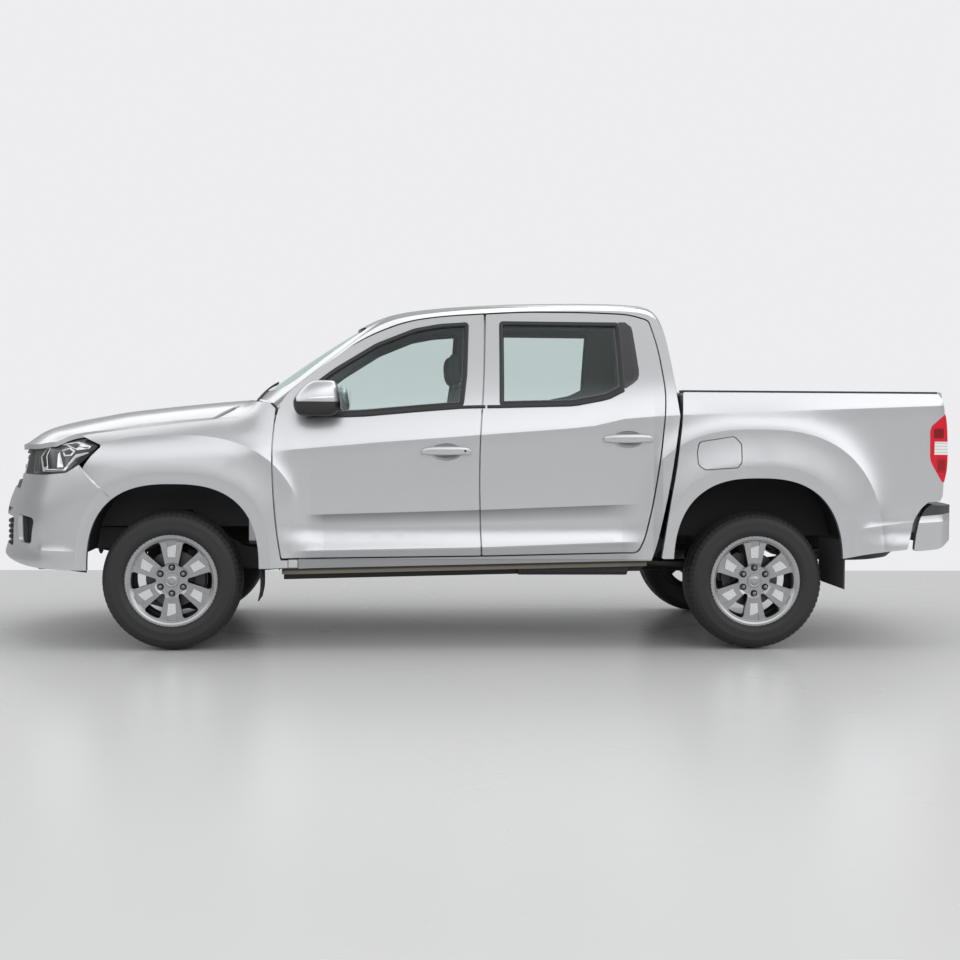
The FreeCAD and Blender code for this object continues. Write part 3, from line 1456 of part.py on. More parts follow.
def knuckle(name, side):
    """Steering knuckle: upright on two ball joints with the stub axle of the wheel."""
    z = s.tyre_radius
    inner = s.kingpin_y - 18.0
    upright = new_body(name + "_upright")
    pad(upright, "XZ_Plane", [[
        (-26.0, -s.ball_spread), (26.0, -s.ball_spread), (46.0, 0.0), (26.0, s.ball_spread),
        (-26.0, s.ball_spread), (-46.0, 0.0),
    ]], 36.0, 0.0)
    if side < 0:
        move_to(upright, s.front_axle_x, -inner, z)
    else:
        move_to(upright, s.front_axle_x, inner + 36.0, z)
    reach = HALF_TRACK - 18.0 - s.kingpin_y
    base_y = (s.kingpin_y + 14.0) * side
    stub = cylinder(name + "_stub", s.stub_radius, reach + 20.0,
                    (s.front_axle_x, base_y, z), (0, side, 0))
    caliper = box(name + "_caliper", (125.0, 34.0, 130.0),
                  (s.front_axle_x + 20.0, (s.kingpin_y - 4.0) * side - (0.0 if side > 0 else 34.0),
                   z - 65.0))
    return keep(name, fused(name, [upright, stub, caliper]))


def build_front_suspension():
    """Wishbones and springs between frame and knuckles, with the steering rack."""
    rail_face = s.rail_y + s.rail_width / 2
    z = s.tyre_radius
    arms = []
    lower = 0.0 - s.ball_spread - s.fit - ARM_THICKNESS
    for label, height in (("lower", lower), ("upper", s.ball_spread + s.fit)):
        arm = new_body("wishbone_" + label)
        reach = 190.0 if label == "lower" else 130.0
        pad(arm, "XY_Plane", [[
            (-reach, -rail_face - s.fit), (-34.0, -s.kingpin_y - 24.0), (34.0, -s.kingpin_y - 24.0),
            (reach, -rail_face - s.fit), (reach - 70.0, -rail_face - s.fit), (0.0, -s.kingpin_y + 90.0),
            (70.0 - reach, -rail_face - s.fit),
        ]], ARM_THICKNESS, height)
        move_to(arm, s.front_axle_x, 0.0, z)
        arms.append(arm)
    foot = z + lower + ARM_THICKNESS - 4.0
    strut = cylinder(
        "spring_strut", SPRING_RADIUS, TOWER_Z - s.fit - foot, (s.front_axle_x, -SPRING_Y, foot),
        (0, 0, 1),
    )
    arms[0] = fused("lower_arm_and_strut", [arms[0], strut])
    return arms


def rear_axle():
    """Rear axle: tube with its differential bulge and wheel stubs, turned about Y."""
    body = new_body("axle_tube")
    end = HALF_TRACK + 16.0
    revolve(body, "YZ_Plane", [
        (-end, 0.0), (-end, s.stub_radius), (-end + 62.0, s.stub_radius), (-end + 62.0, 70.0),
        (-end + 82.0, 70.0), (-end + 84.0, 44.0), (-190.0, 44.0), (-120.0, 120.0), (0.0, 150.0, 0),
        (120.0, 120.0), (190.0, 44.0), (end - 84.0, 44.0), (end - 82.0, 70.0), (end - 62.0, 70.0),
        (end - 62.0, s.stub_radius), (end, s.stub_radius), (end, 0.0),
    ], "H_Axis")
    move_to(body, REAR_AXLE_X, 0.0, s.tyre_radius)
    nose = cylinder("axle_nose", 62.0, 120.0, (REAR_AXLE_X - 225.0, 0.0, s.tyre_radius), (1, 0, 0))
    seats = []
    for label, side in (("left", -1.0), ("right", 1.0)):
        corner = s.spring_y * side - s.spring_width / 2
        seats.append(box(
            "spring_seat_" + label, (130.0, s.spring_width, 44.0),
            (REAR_AXLE_X - 65.0, corner, s.tyre_radius),
        ))
    return keep("rear_axle", fused("rear_axle", [body, nose] + seats))


def leaf_spring():
    """Left leaf spring: a gently curved pack seated on the axle tube."""
    body = new_body("leaf_spring")
    seat = s.tyre_radius + 44.0 + s.fit
    front = 900.0
    rear = 2120.0
    end = s.rail_bottom + 70.0
    rear_end = s.rail_bottom + s.rail_rise - 30.0
    pad(body, "XZ_Plane", [[
        (front - 30.0, end - s.fit - 14.0), (1200.0, seat + 2.0, 0), (REAR_AXLE_X - 70.0, seat),
        (REAR_AXLE_X + 70.0, seat), (1840.0, seat + 50.0, 0), (rear + 30.0, rear_end - s.fit - 14.0),
        (rear + 30.0, rear_end - s.fit), (1840.0, seat + 76.0, 0), (REAR_AXLE_X + 70.0, seat + 44.0),
        (REAR_AXLE_X - 70.0, seat + 44.0), (1200.0, seat + 30.0, 0), (front - 30.0, end - s.fit),
    ]], s.spring_width, s.spring_y - s.spring_width / 2)
    return body


def engine():
    """Engine as one plain block with its gearbox behind."""
    body = new_body("engine_block")
    pad(body, "XZ_Plane", [[
        (-2080.0, 560.0), (-1960.0, 470.0), (-1330.0, 470.0), (-1240.0, 350.0), (-760.0, 380.0),
        (-700.0, 400.0), (-700.0, 470.0), (-760.0, 474.0), (-1240.0, 500.0), (-1290.0, 760.0),
        (-1290.0, 1080.0), (-1960.0, 1060.0), (-2080.0, 980.0),
    ]], 260.0, symmetric=True)
    pad(body, "XZ_Plane", [[
        (-2060.0, 620.0), (-1310.0, 620.0), (-1310.0, 1040.0), (-2060.0, 960.0),
    ]], 560.0, symmetric=True)
    reach = (s.rail_y - s.rail_width / 2 - s.fit) * 2
    pad(body, "XZ_Plane", [[
        (-1750.0, 585.0), (-1650.0, 585.0), (-1640.0, 640.0), (-1760.0, 640.0),
    ]], reach, symmetric=True)
    return keep("engine_block", body)


def pipe(name, points, radius, bend):
    """A round pipe along straight runs joined by tangent arcs."""
    stops = [Vector(*[float(v) for v in p]) for p in points]
    edges = []
    start = stops[0]
    for before, corner, after in zip(stops, stops[1:], stops[2:]):
        inward = (before - corner).normalize()
        outward = (after - corner).normalize()
        half = inward.getAngle(outward) / 2
        reach = bend / math.tan(half)
        arrive = corner + inward * reach
        leave = corner + outward * reach
        middle = (inward + outward).normalize()
        top = corner + middle * (bend / math.sin(half) - bend)
        edges.append(Part.LineSegment(start, arrive).toShape())
        edges.append(Part.Arc(arrive, top, leave).toShape())
        start = leave
    edges.append(Part.LineSegment(start, stops[-1]).toShape())
    path = Part.Wire(edges)
    direction = (stops[1] - stops[0]).normalize()
    ring = Part.Wire([Part.makeCircle(radius, stops[0], direction)])
    return path.makePipeShell([ring], True, False)


def exhaust():
    """Exhaust pipe with its muffler, from the engine to behind the right rear wheel."""
    route = (
        (-1400, 215, 620 - n.fit), (-1400, 215, 430), (-1100, 262, 402), (900, 262, 402),
        (1250, 262, 578), (1720, 290, 578), (1960, 480, 430), (2160, 600, 405), (2390, 640, 405),
    )
    tube = pipe("exhaust", route, 28.0, 70.0)
    hangers = [
        block((100, 124), (340, n.rail_y - n.rail_width / 2 - n.fit), (424, 444)),
        block((2200, 2224), (n.rail_y + n.rail_width / 2 + n.fit, 630), (612, 626)),
        block((2200, 2224), (610, 630), (400, 626)),
    ]
    muffler = side_prism(
        ((-40, 352, 30), (620, 352, 30), (620, 448, 30), (-40, 448, 30)), 170.0, 350.0, 30.0
    )
    return tube.fuse([muffler] + hangers).removeSplitter()


def build_running_gear():
    """Everything below the body apart from the frame and wheels."""
    knuckle("knuckle_left", -1.0)
    knuckle("knuckle_right", 1.0)
    arms = build_front_suspension()
    both_arms = arms + [mirrored_copy(arm.Name + "_right", arm) for arm in arms]
    suspension = DOC.addObject("Part::Compound", "front_suspension")
    suspension.Links = both_arms
    keep("front_suspension", suspension)
    rear_axle()
    both_sides("leaf_springs", leaf_spring())
    engine()
    shaft_start = Vector(-700, 0, 435)
    shaft_end = Vector(n.front_axle_x + n.wheelbase - 225.0, 0, n.tyre_radius)
    run = shaft_end - shaft_start
    distance = run.Length
    run.normalize()
    clear = n.fit + 1.2
    shaft = cylinder("propeller_shaft", 36.0, distance - 2 * clear,
                     tuple(shaft_start + run * clear), tuple(run))
    keep("propeller_shaft", shaft)
    freeform("exhaust", exhaust())
    tank = new_body("fuel_tank")
    inner = 0.0 - s.rail_y - s.rail_width / 2 - s.fit
    pad(tank, "YZ_Plane", [[
        (-780.0, 414.0), (-740.0, 392.0), (-500.0, 392.0), (inner, 420.0), (inner, 512.0),
        (-500.0, 530.0), (-760.0, 530.0), (-780.0, 505.0),
    ]], 600.0, 250.0)
    keep("fuel_tank", tank)


# Cabin
def cushion(x, y, z, radius=30.0):
    """A plain padded block with rounded edges."""
    solid = block(x, y, z)
    return solid.makeFillet(radius, solid.Edges)


def leaning_back(y, foot, top, thickness, lean, base, radius=32.0):
    """A seat back that leans to the rear, rounded at its edges."""
    profile = (
        (base, foot), (base + thickness, foot), (base + thickness + lean, top), (base + lean, top),
    )
    prism = side_prism(profile, y[0], y[1], 0.0)
    return prism.makeFillet(radius, prism.Edges)


def front_seats():
    """Two front seats, each with cushion, back, head rest and base."""
    seats = []
    for side in (-1, 1):
        y0 = n.seat_y * side - n.seat_width / 2
        y1 = y0 + n.seat_width
        base = block((-480, -60), (y0 + 60, y1 - 60), (n.floor_bottom + n.floor_thickness, 800))
        pad_part = cushion((-560, 0), (y0, y1), (760, 900), 40.0)
        back = leaning_back((y0, y1), 830, 1420, 120, 130, -70, 40.0)
        rest = leaning_back((y0 + 120, y1 - 120), 1440, 1620, 80, 30, 60, 30.0)
        posts = block((84, 100), (y0 + 170, y0 + 186), (1380, 1480)).fuse(
            block((84, 100), (y1 - 186, y1 - 170), (1380, 1480))
        )
        seats.append(pad_part.fuse([base, back, rest, posts]).removeSplitter())
    return Part.makeCompound(seats)


def rear_seat():
    """Rear bench with one long cushion, back and two head rests."""
    y0, y1 = -660, 660
    base = block((560, 920), (y0 + 60, y1 - 60), (n.floor_bottom + n.floor_thickness, 840))
    pad_part = cushion((470, 960), (y0, y1), (800, 930), 40.0)
    back = leaning_back((y0, y1), 860, 1400, 90, 60, 880, 35.0)
    rests = [
        leaning_back((y - 130, y + 130), 1370, 1530, 70, 10, 945, 26.0) for y in (-360, 360)
    ]
    return pad_part.fuse([base, back] + rests).removeSplitter()


STEERING_SIDE = -1.0
COLUMN_TILT = 25.0
STEERING_X = -660.0
STEERING_Z = 1180.0


def dashboard():
    """Dashboard across the cab with the steering column's shroud."""
    profile = (
        (-1190, 800), (-1120, 760), (-960, 760), (-850, 860), (-810, 1020), (-830, 1110, 40),
        (-900, 1195, 60), (-1190, 1230),
    )
    dash = side_prism(profile, -735.0, 735.0, 30.0)
    tilt = math.radians(COLUMN_TILT)
    away = Vector(-math.cos(tilt), 0, -math.sin(tilt))
    centre = Vector(STEERING_X, STEERING_SIDE * n.seat_y, STEERING_Z)
    column = Part.makeCylinder(34.0, 210.0, centre + away * 58.0, away)
    console = block((-1010, -560), (-90, 90), (n.floor_bottom + n.floor_thickness, 830))
    return dash.fuse([column, console.makeFillet(20.0, console.Edges)]).removeSplitter()


def steering_wheel():
    """Steering wheel: rim, three spokes and hub on its column."""
    rim = Part.makeTorus(n.wheel_rim_radius, n.wheel_rim_thickness)
    hub = Part.makeCylinder(52.0, 40.0, Vector(0, 0, -30))
    neck = Part.makeCylinder(26.0, 30.0, Vector(0, 0, -57.5))
    spokes = []
    for angle in (0, 180, 270):
        spoke = block((0, n.wheel_rim_radius), (-16, 16), (-18, 0))
        spoke.rotate(Vector(0, 0, 0), Vector(0, 0, 1), angle)
        spokes.append(spoke)
    wheel = rim.fuse([hub, neck] + spokes).removeSplitter()
    wheel.rotate(Vector(0, 0, 0), Vector(0, 0, 1), 90)
    wheel.rotate(Vector(0, 0, 0), Vector(0, 1, 0), 90 - COLUMN_TILT)
    wheel.translate(Vector(STEERING_X, STEERING_SIDE * n.seat_y, STEERING_Z))
    return wheel


def mirror():
    """Left door mirror: a rounded housing on a foot at the window's front corner."""
    outline = (
        (-970, 1330, 60), (-930, 1402, 120), (-868, 1446, 80), (-762, 1446, 36), (-734, 1400, 120),
        (-720, 1306, 20), (-756, 1280, 30), (-938, 1258, 50),
    )
    plan = (
        (-972, -900, 10), (-972, -1000, 120), (-930, -1062, 120), (-820, -1078, 200),
        (-728, -1066, 16), (-716, -900, 10),
    )
    housing = side_prism(outline, -1090.0, -905.0, 20.0)
    housing = housing.common(plan_prism(plan, 1200.0, 1500.0, 20.0))
    cap = front_prism((
        (-1090, 1240), (-900, 1240), (-900, 1470), (-985, 1452, 60), (-1066, 1420, 50),
        (-1078, 1330, 60), (-1062, 1272, 20),
    ), -1000.0, -700.0, 10.0)
    housing = housing.common(cap)
    foot = block((-930, -800), (-960, -820), (1268, 1300))
    foot = foot.cut(side_core((-1100.0, -600.0), (1150.0, 1450.0), -n.fit, 14, 14))
    return housing.fuse(foot).removeSplitter()


def wiper(pivot_y, tip_y):
    """A wiper with its blade, lying on the windscreen."""
    start = Vector(-1196.0, pivot_y, 0)
    end = Vector(-1118.0, tip_y, 0)
    along_blade = (end - start).normalize()
    aside = Vector(-along_blade.y, along_blade.x, 0) * 7.0
    corners = [start - aside, end - aside, end + aside, start + aside]
    blade = plan_prism([(c.x, c.y) for c in corners], 1200.0, 1500.0, 3.0)
    return roof_layer(ROOF[:8], -13.0, 0.0, 13.0 - n.fit, 0.0).common(blade)


def build_cabin():
    """Seats, dashboard, steering wheel and mirrors."""
    freeform("front_seats", front_seats())
    freeform("rear_seat", rear_seat())
    freeform("dashboard", dashboard())
    freeform("steering_wheel", steering_wheel())
    freeform("wipers", Part.makeCompound([wiper(-560.0, 20.0), wiper(90.0, 640.0)]))
    left = mirror()
    freeform("mirror_left", left)
    freeform("mirror_right", other_side(left))


def check_document():
    """Stop when an object failed or a node's shape is empty or broken."""
    DOC.recompute()
    for item in DOC.Objects:
        if "Invalid" in item.State or "Error" in item.State:
            raise RuntimeError("failed object: " + item.Name)
    for name, item in NODES.items():
        shape = item.Shape
        if shape.isNull() or not shape.isValid() or not shape.Solids:
            raise RuntimeError("broken shape: " + name)
        print(name, len(shape.Solids), "solids", round(shape.Volume / 1e6, 2), "litres")


def write_parts():
    """Write one file for each node."""
    os.makedirs("parts", exist_ok=True)
    for name, item in NODES.items():
        item.Shape.exportStep(os.path.join("parts", name + ".step"))


build_body()
build_load_bed()
build_frame()
build_wheels()
build_running_gear()
build_cabin()
check_document()
write_parts()
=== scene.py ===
# %% [markdown]
# # A silver pickup truck in a pale studio
#
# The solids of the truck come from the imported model. This lesson dresses them: it gives every
# solid a finish, replaces tyres, mirrors and seats by finer surfaces, and adds the seals, nuts and
# trim that a body panel needs before it looks real. The frame is in metres, with +X to the rear,
# +Y to the vehicle's right and +Z up, and the origin is on the ground below the middle.

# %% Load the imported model
import math

import bmesh
import bpy
import numpy as np
from mathutils import Matrix, Vector
from mathutils.bvhtree import BVHTree


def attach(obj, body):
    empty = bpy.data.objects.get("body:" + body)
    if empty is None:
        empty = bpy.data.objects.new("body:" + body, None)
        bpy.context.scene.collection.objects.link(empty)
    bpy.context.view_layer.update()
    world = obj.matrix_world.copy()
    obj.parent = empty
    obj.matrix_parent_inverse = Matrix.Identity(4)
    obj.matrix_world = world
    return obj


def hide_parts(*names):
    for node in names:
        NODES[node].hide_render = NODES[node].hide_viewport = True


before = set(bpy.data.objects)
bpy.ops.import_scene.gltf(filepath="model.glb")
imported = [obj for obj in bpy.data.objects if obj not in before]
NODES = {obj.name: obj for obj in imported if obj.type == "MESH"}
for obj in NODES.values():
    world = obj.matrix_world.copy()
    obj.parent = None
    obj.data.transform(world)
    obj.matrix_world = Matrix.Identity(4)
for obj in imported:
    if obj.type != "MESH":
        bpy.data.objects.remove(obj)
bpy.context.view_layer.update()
LEFT_AND_RIGHT = (("left", 1.0), ("right", -1.0))

# %% [markdown]
# ## Arithmetic with shader sockets
#
# A finish is a small formula: a colour that a noise darkens, a roughness that a mask raises. The
# formulas read best as Python, so one class wraps a socket and overloads the operators, and one
# method makes any other node from its type, its settings and its inputs.


# %% Shader sockets as values
class Wire:
    """A socket that Python arithmetic works on. Each operator adds one Math node."""

    def __init__(self, nodes, socket):
        self.nodes = nodes
        self.socket = socket

    def math(self, operation, *values, clamped=False):
        settings = {"operation": operation, "use_clamp": clamped}
        return self.nodes.node("ShaderNodeMath", settings, values)

    def __add__(self, other):
        return self.math("ADD", self, other)

    def __radd__(self, other):
        return self.math("ADD", other, self)

    def __sub__(self, other):
        return self.math("SUBTRACT", self, other)

    def __rsub__(self, other):
        return self.math("SUBTRACT", other, self)

    def __mul__(self, other):
        return self.math("MULTIPLY", self, other)

    def __rmul__(self, other):
        return self.math("MULTIPLY", other, self)

    def __truediv__(self, other):
        return self.math("DIVIDE", self, other)

    def __rtruediv__(self, other):
        return self.math("DIVIDE", other, self)

    def __pow__(self, other):
        return self.math("POWER", self, other)

    def __abs__(self):
        return self.math("ABSOLUTE", self)

    def high(self, other):
        return self.math("MAXIMUM", self, other)

    def low(self, other):
        return self.math("MINIMUM", self, other)

    def fraction(self):
        return self.math("FRACT", self)

    def above(self, level, width=0.002):
        """1 above a level and 0 below it, with a soft edge of that width."""
        return self.math("MULTIPLY_ADD", self, 1 / width, 0.5 - level / width, clamped=True)

    def below(self, level, width=0.002):
        return self.math("MULTIPLY_ADD", self, -1 / width, 0.5 + level / width, clamped=True)

    def within(self, low, high, width=0.002, high_width=None):
        """1 between two levels and 0 outside them. The upper edge can have its own width."""
        return self.above(low, width) * self.below(high, high_width or width)


# %% Nodes of a material or of the world
class Nodes:
    """The nodes of a material or of the world, and one method that makes any of them."""

    def __init__(self, owner):
        owner.use_nodes = True
        self.tree = owner.node_tree
        self.tree.nodes.clear()

    def node(self, kind, settings=None, inputs=(), output=0):
        """Any node: settings are set first, then its sockets by place or name."""
        item = self.tree.nodes.new(kind)
        for key, value in (settings or {}).items():
            if key == "stops":
                ramp = item.color_ramp.elements
                while len(ramp) < len(value):
                    ramp.new(0.5)
                for stop, (place, colour) in zip(ramp, value):
                    stop.position = place
                    stop.color = colour
            else:
                setattr(item, key, value)
        pairs = inputs.items() if isinstance(inputs, dict) else enumerate(inputs)
        for key, value in pairs:
            self.join(item.inputs[key], value)
        return Wire(self, item.outputs[output])

    def join(self, socket, value):
        if isinstance(value, Wire):
            self.tree.links.new(value.socket, socket)
        elif isinstance(value, (tuple, list)) and len(value) == 3 and socket.type == "RGBA":
            socket.default_value = (*value, 1.0)
        else:
            socket.default_value = value

    def point(self, output="Object"):
        """The point in the vehicle's frame or, for the world's Generated, the direction."""
        return self.node("ShaderNodeTexCoord", {}, (), output)

    def axes(self, output="Object"):
        """The point's X, Y and Z as three wires."""
        split = self.node("ShaderNodeSeparateXYZ", {}, (self.point(output),)).socket.node
        return [Wire(self, socket) for socket in split.outputs]


# %% A finish
class Finish(Nodes):
    """A material: a Principled shader and the nodes that vary it."""

    def __init__(self, name, **constants):
        self.material = bpy.data.materials.new(name)
        super().__init__(self.material)
        self.shader = self.tree.nodes.new("ShaderNodeBsdfPrincipled")
        self.output = self.tree.nodes.new("ShaderNodeOutputMaterial")
        self.tree.links.new(self.shader.outputs[0], self.output.inputs[0])
        self.feed(**constants)

    def feed(self, **inputs):
        """Give values or wires to the shader's sockets, named with underscores."""
        for key, value in inputs.items():
            self.join(self.shader.inputs[key.replace("_", " ")], value)
        return self

    def noise(self, scale, detail=2.0, stretch=(1.0, 1.0, 1.0)):
        """A smooth noise from 0 to 1, with so many features a metre."""
        where = self.node("ShaderNodeMapping", {}, {"Vector": self.point(), "Scale": stretch})
        inputs = {"Vector": where, "Scale": scale, "Detail": detail}
        return self.node("ShaderNodeTexNoise", {}, inputs, "Fac")

    def blend(self, factor, low, high):
        """A colour that goes from low to high as the factor goes from 0 to 1."""
        settings = {"data_type": "RGBA"}
        item = self.node("ShaderNodeMix", settings, {"Factor": factor}).socket.node
        self.join(item.inputs[6], low)
        self.join(item.inputs[7], high)
        return Wire(self, item.outputs[2])

    def bump(self, height, strength=0.3, distance=0.001):
        inputs = {"Height": height, "Strength": strength, "Distance": distance}
        return self.feed(Normal=self.node("ShaderNodeBump", {}, inputs, "Normal"))


# %% Finishes onto solids
def coat(finish, *names):
    """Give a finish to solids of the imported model."""
    for name in names:
        item = NODES[name]
        if item.material_slots:
            for place in item.material_slots:
                place.material = finish.material
        else:
            item.data.materials.append(finish.material)


def both(stem):
    return [stem + "_left", stem + "_right"]


# %% [markdown]
# ## Camera and studio
#
# The photo was taken square on from the left, at the height of a chest, about nine metres away.
# The lens, height and turn come from the places of the four wheels in the photo. The studio has a
# pale glossy floor that ends at a pale wall. The wall is the world's own colour as the camera sees
# it, straight or through glass, so it hides nothing when the truck is seen from behind. Paint and
# floor mirror a graded room instead, darker near the horizon and brighter above it.

# %% The camera
CAMERA_PLACE = (-0.4734, -9.1886, 1.2888)
TURN, DIP, ROLL = 0.0602, 0.0444, 0.0069
LENS_MM = 57.96
ahead = np.array([math.sin(TURN) * math.cos(DIP), math.cos(TURN) * math.cos(DIP), -math.sin(DIP)])
level = np.array([math.cos(TURN), -math.sin(TURN), 0.0])
upright = np.cross(level, ahead)
across = level * math.cos(ROLL) + upright * math.sin(ROLL)
up = -level * math.sin(ROLL) + upright * math.cos(ROLL)
camera = bpy.data.objects.new("camera", bpy.data.cameras.new("camera"))
camera.data.lens = LENS_MM
camera.data.sensor_width = 36.0
camera.data.clip_end = 200.0
pose = np.eye(4)
pose[:3, 0], pose[:3, 1], pose[:3, 2], pose[:3, 3] = across, up, -ahead, CAMERA_PLACE
camera.matrix_world = Matrix(pose.tolist())
bpy.context.scene.collection.objects.link(camera)
bpy.context.scene.camera = camera
bpy.context.scene.view_settings.view_transform = "Standard"
print("camera looks along", ahead.round(3))

# %% [markdown]
# ## Surfaces from numbers
#
# Every new piece is a grid of points whose neighbours are joined by four-sided faces. It could be
# modelled by hand, but a formula on whole arrays is exact, and a change of sign mirrors it.

# %% Surfaces from grids of points
def grid_faces(rows, columns, wrap=(False, False), first=0):
    """Four-sided faces between the neighbours of a grid of points, as rows of point numbers."""
    index = np.arange(rows * columns).reshape(rows, columns) + first
    if wrap[0]:
        index = np.vstack([index, index[:1]])
    if wrap[1]:
        index = np.hstack([index, index[:, :1]])
    corners = [index[:-1, :-1], index[1:, :-1], index[1:, 1:], index[:-1, 1:]]
    return np.stack(corners, axis=-1).reshape(-1, 4)


def at(x, y, z):
    """Points from X, Y and Z, each one a number or an array, spread over each other."""
    return np.stack(np.broadcast_arrays(x, y, z), axis=-1)


def circle(count, start=0.0):
    """Equal steps of angle round a circle."""
    return np.arange(count) * 2 * np.pi / count + start


def squarish(wave, power):
    """A sine or cosine raised to a power with its sign kept, which makes a superellipse."""
    return np.sign(wave) * np.abs(wave) ** power


def mesh(name, points, faces, finish, body=None, smooth=True, facing=None):
    """A mesh object at the origin that rides on a body. An open sheet is turned to face a
    direction, and a closed form has its faces turned outwards."""
    data = bpy.data.meshes.new(name)
    data.from_pydata(points.tolist(), [], faces.tolist())
    data.update()
    form = bmesh.new()
    form.from_mesh(data)
    if facing is None:
        bmesh.ops.recalc_face_normals(form, faces=form.faces)
    elif sum(face.normal.dot(Vector(facing)) * face.calc_area() for face in form.faces) < 0:
        bmesh.ops.reverse_faces(form, faces=form.faces)
    form.to_mesh(data)
    form.free()
    data.polygons.foreach_set("use_smooth", np.full(len(data.polygons), smooth))
    data.materials.append(finish.material)
    data.update()
    item = bpy.data.objects.new(name, data)
    bpy.context.scene.collection.objects.link(item)
    if body:
        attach(item, body)
    return item


def several(name, grids, finish, body=None, wrap=(False, False), **more):
    """Several grids of points as one mesh."""
    faces, first = [], 0
    for grid in grids:
        faces.append(grid_faces(*grid.shape[:2], wrap, first))
        first += grid.shape[0] * grid.shape[1]
    points = np.vstack([grid.reshape(-1, 3) for grid in grids])
    return mesh(name, points, np.vstack(faces), finish, body, **more)


def surface(name, grid, finish, body=None, **more):
    """One grid of points as a mesh."""
    return several(name, [grid], finish, body, **more)


# A ring of points closes over a grid's rows, a tube over its columns and a loop over both. Bars
# and plates keep flat faces.
RING, TUBE, LOOP = ({"wrap": closed} for closed in ((True, False), (False, True), (True, True)))
PLATE, BAR = {**RING, "smooth": False}, {**TUBE, "smooth": False}


def on_both_sides(name, grids, finish, body, facing=None, **more):
    """The same grids on the left and, mirrored, on the right. Braces stand for the side."""
    made = []
    for side, sign in LEFT_AND_RIGHT:
        flip = np.array([1.0, sign, 1.0])
        towards = None if facing is None else tuple(np.array(facing) * flip)
        made.append(several(
            name + "_" + side, [grid * flip for grid in grids], finish, body.format(side),
            facing=towards, **more,
        ))
    print(name, sum(len(item.data.polygons) for item in made), "faces on two sides")
    return made


# %% [markdown]
# ## Lines laid on the body
#
# Seals and trim follow a curved door. Each path is drawn flat, in X and Z as the side view shows
# it, and a ray along Y finds where the door's surface is, so the strip lies on the real panel.

# %% Paths in side view
def outline(corners, radius=0.02, count=5, spacing=0.03):
    """A closed path with round corners. Each corner is a parabola between points a radius away
    on its two sides, and the path is then walked in equal steps."""
    corners = np.array(corners, float) / 1000.0
    path = []
    for before, here, after in zip(np.roll(corners, 1, 0), corners, np.roll(corners, -1, 0)):
        ends = []
        for other in (before, after):
            length = np.linalg.norm(other - here)
            ends.append(here + (other - here) / length * min(radius, 0.45 * length))
        t = np.linspace(0.0, 1.0, count)[:, None]
        path.append((1 - t) ** 2 * ends[0] + 2 * t * (1 - t) * here + t * t * ends[1])
    path = np.vstack(path)
    closed = np.vstack([path, path[:1]])
    length = np.concatenate([[0.0], np.cumsum(np.linalg.norm(np.diff(closed, axis=0), axis=1))])
    steps = np.unique(np.concatenate([length[:-1], np.arange(0.0, length[-1], spacing)]))
    steps = steps[np.concatenate([[True], np.diff(steps) > 0.0015])]
    return np.stack([np.interp(steps, length, closed[:, k]) for k in (0, 1)], axis=1)


def inset(path, distance):
    """A closed path moved inwards by a distance along its normals."""
    along = np.roll(path, -1, 0) - np.roll(path, 1, 0)
    along /= np.linalg.norm(along, axis=1)[:, None]
    turned = np.roll(path, -1, 0)
    area = np.sum(path[:, 0] * turned[:, 1] - turned[:, 0] * path[:, 1])
    inward = np.stack([-along[:, 1], along[:, 0]], axis=1) * (1.0 if area > 0 else -1.0)
    return path + inward * distance


# %% Strips on a surface
def skin(*pieces):
    """The surfaces of solids, given by name, or of new pieces, to find where a line across the
    vehicle meets them."""
    corners, faces = [], []
    for piece in pieces:
        data = (NODES[piece] if isinstance(piece, str) else piece).data
        first = len(corners)
        corners += [tuple(vertex.co) for vertex in data.vertices]
        faces += [[first + i for i in polygon.vertices] for polygon in data.polygons]
    return BVHTree.FromPolygons(corners, faces)


RAY_START, RAY_LENGTH, ACROSS = -1.6, 1.2, Vector((0.0, 1.0, 0.0))
PANE_DEPTH = 0.010


def laid(tree, x, z, lift=0.0, pane=None):
    """Y of the left side's surface at places in X and Z, moved outwards by a lift. Where the
    tree has a hole, the pane behind it counts, and elsewhere the nearest place that has one."""
    x, z = np.broadcast_arrays(x, z)
    found = np.full(x.size, np.nan)
    for i, (a, b) in enumerate(zip(x.ravel(), z.ravel())):
        for layer, depth in ((tree, 0.0), (pane, PANE_DEPTH)):
            hit = layer and layer.ray_cast(Vector((a, RAY_START, b)), ACROSS, RAY_LENGTH)[0]
            if hit is not None:
                found[i] = hit.y - depth
                break
    good = np.flatnonzero(~np.isnan(found))
    found = np.interp(np.arange(len(found)), good, found[good])
    return found.reshape(x.shape) - lift


def band(path, section, tree, pane=None):
    """A closed strip along a closed path in X and Z. Each section point is a distance inwards
    and a height above the body's surface, in millimetres."""
    columns = []
    for distance, height in section:
        moved = inset(path, distance / 1000.0)
        y = laid(tree, moved[:, 0], moved[:, 1], height / 1000.0, pane)
        columns.append(at(moved[:, 0], y, moved[:, 1]))
    return np.stack(columns, axis=1)


def strip(path, section, tree, pane=None):
    """A closed bar along an open path in X and Z, with a section of heights along Z and
    heights above the body's surface, in millimetres."""
    path = np.array(path, float) / 1000.0
    length = np.concatenate([[0.0], np.cumsum(np.linalg.norm(np.diff(path, axis=0), axis=1))])
    steps = np.linspace(0.0, length[-1], max(int(length[-1] / 0.04), 2))
    x, z = (np.interp(steps, length, path[:, k]) for k in (0, 1))
    return ends_closed(np.stack([
        at(x, laid(tree, x, z + rise / 1000.0, height / 1000.0, pane), z + rise / 1000.0)
        for rise, height in section
    ], axis=1))


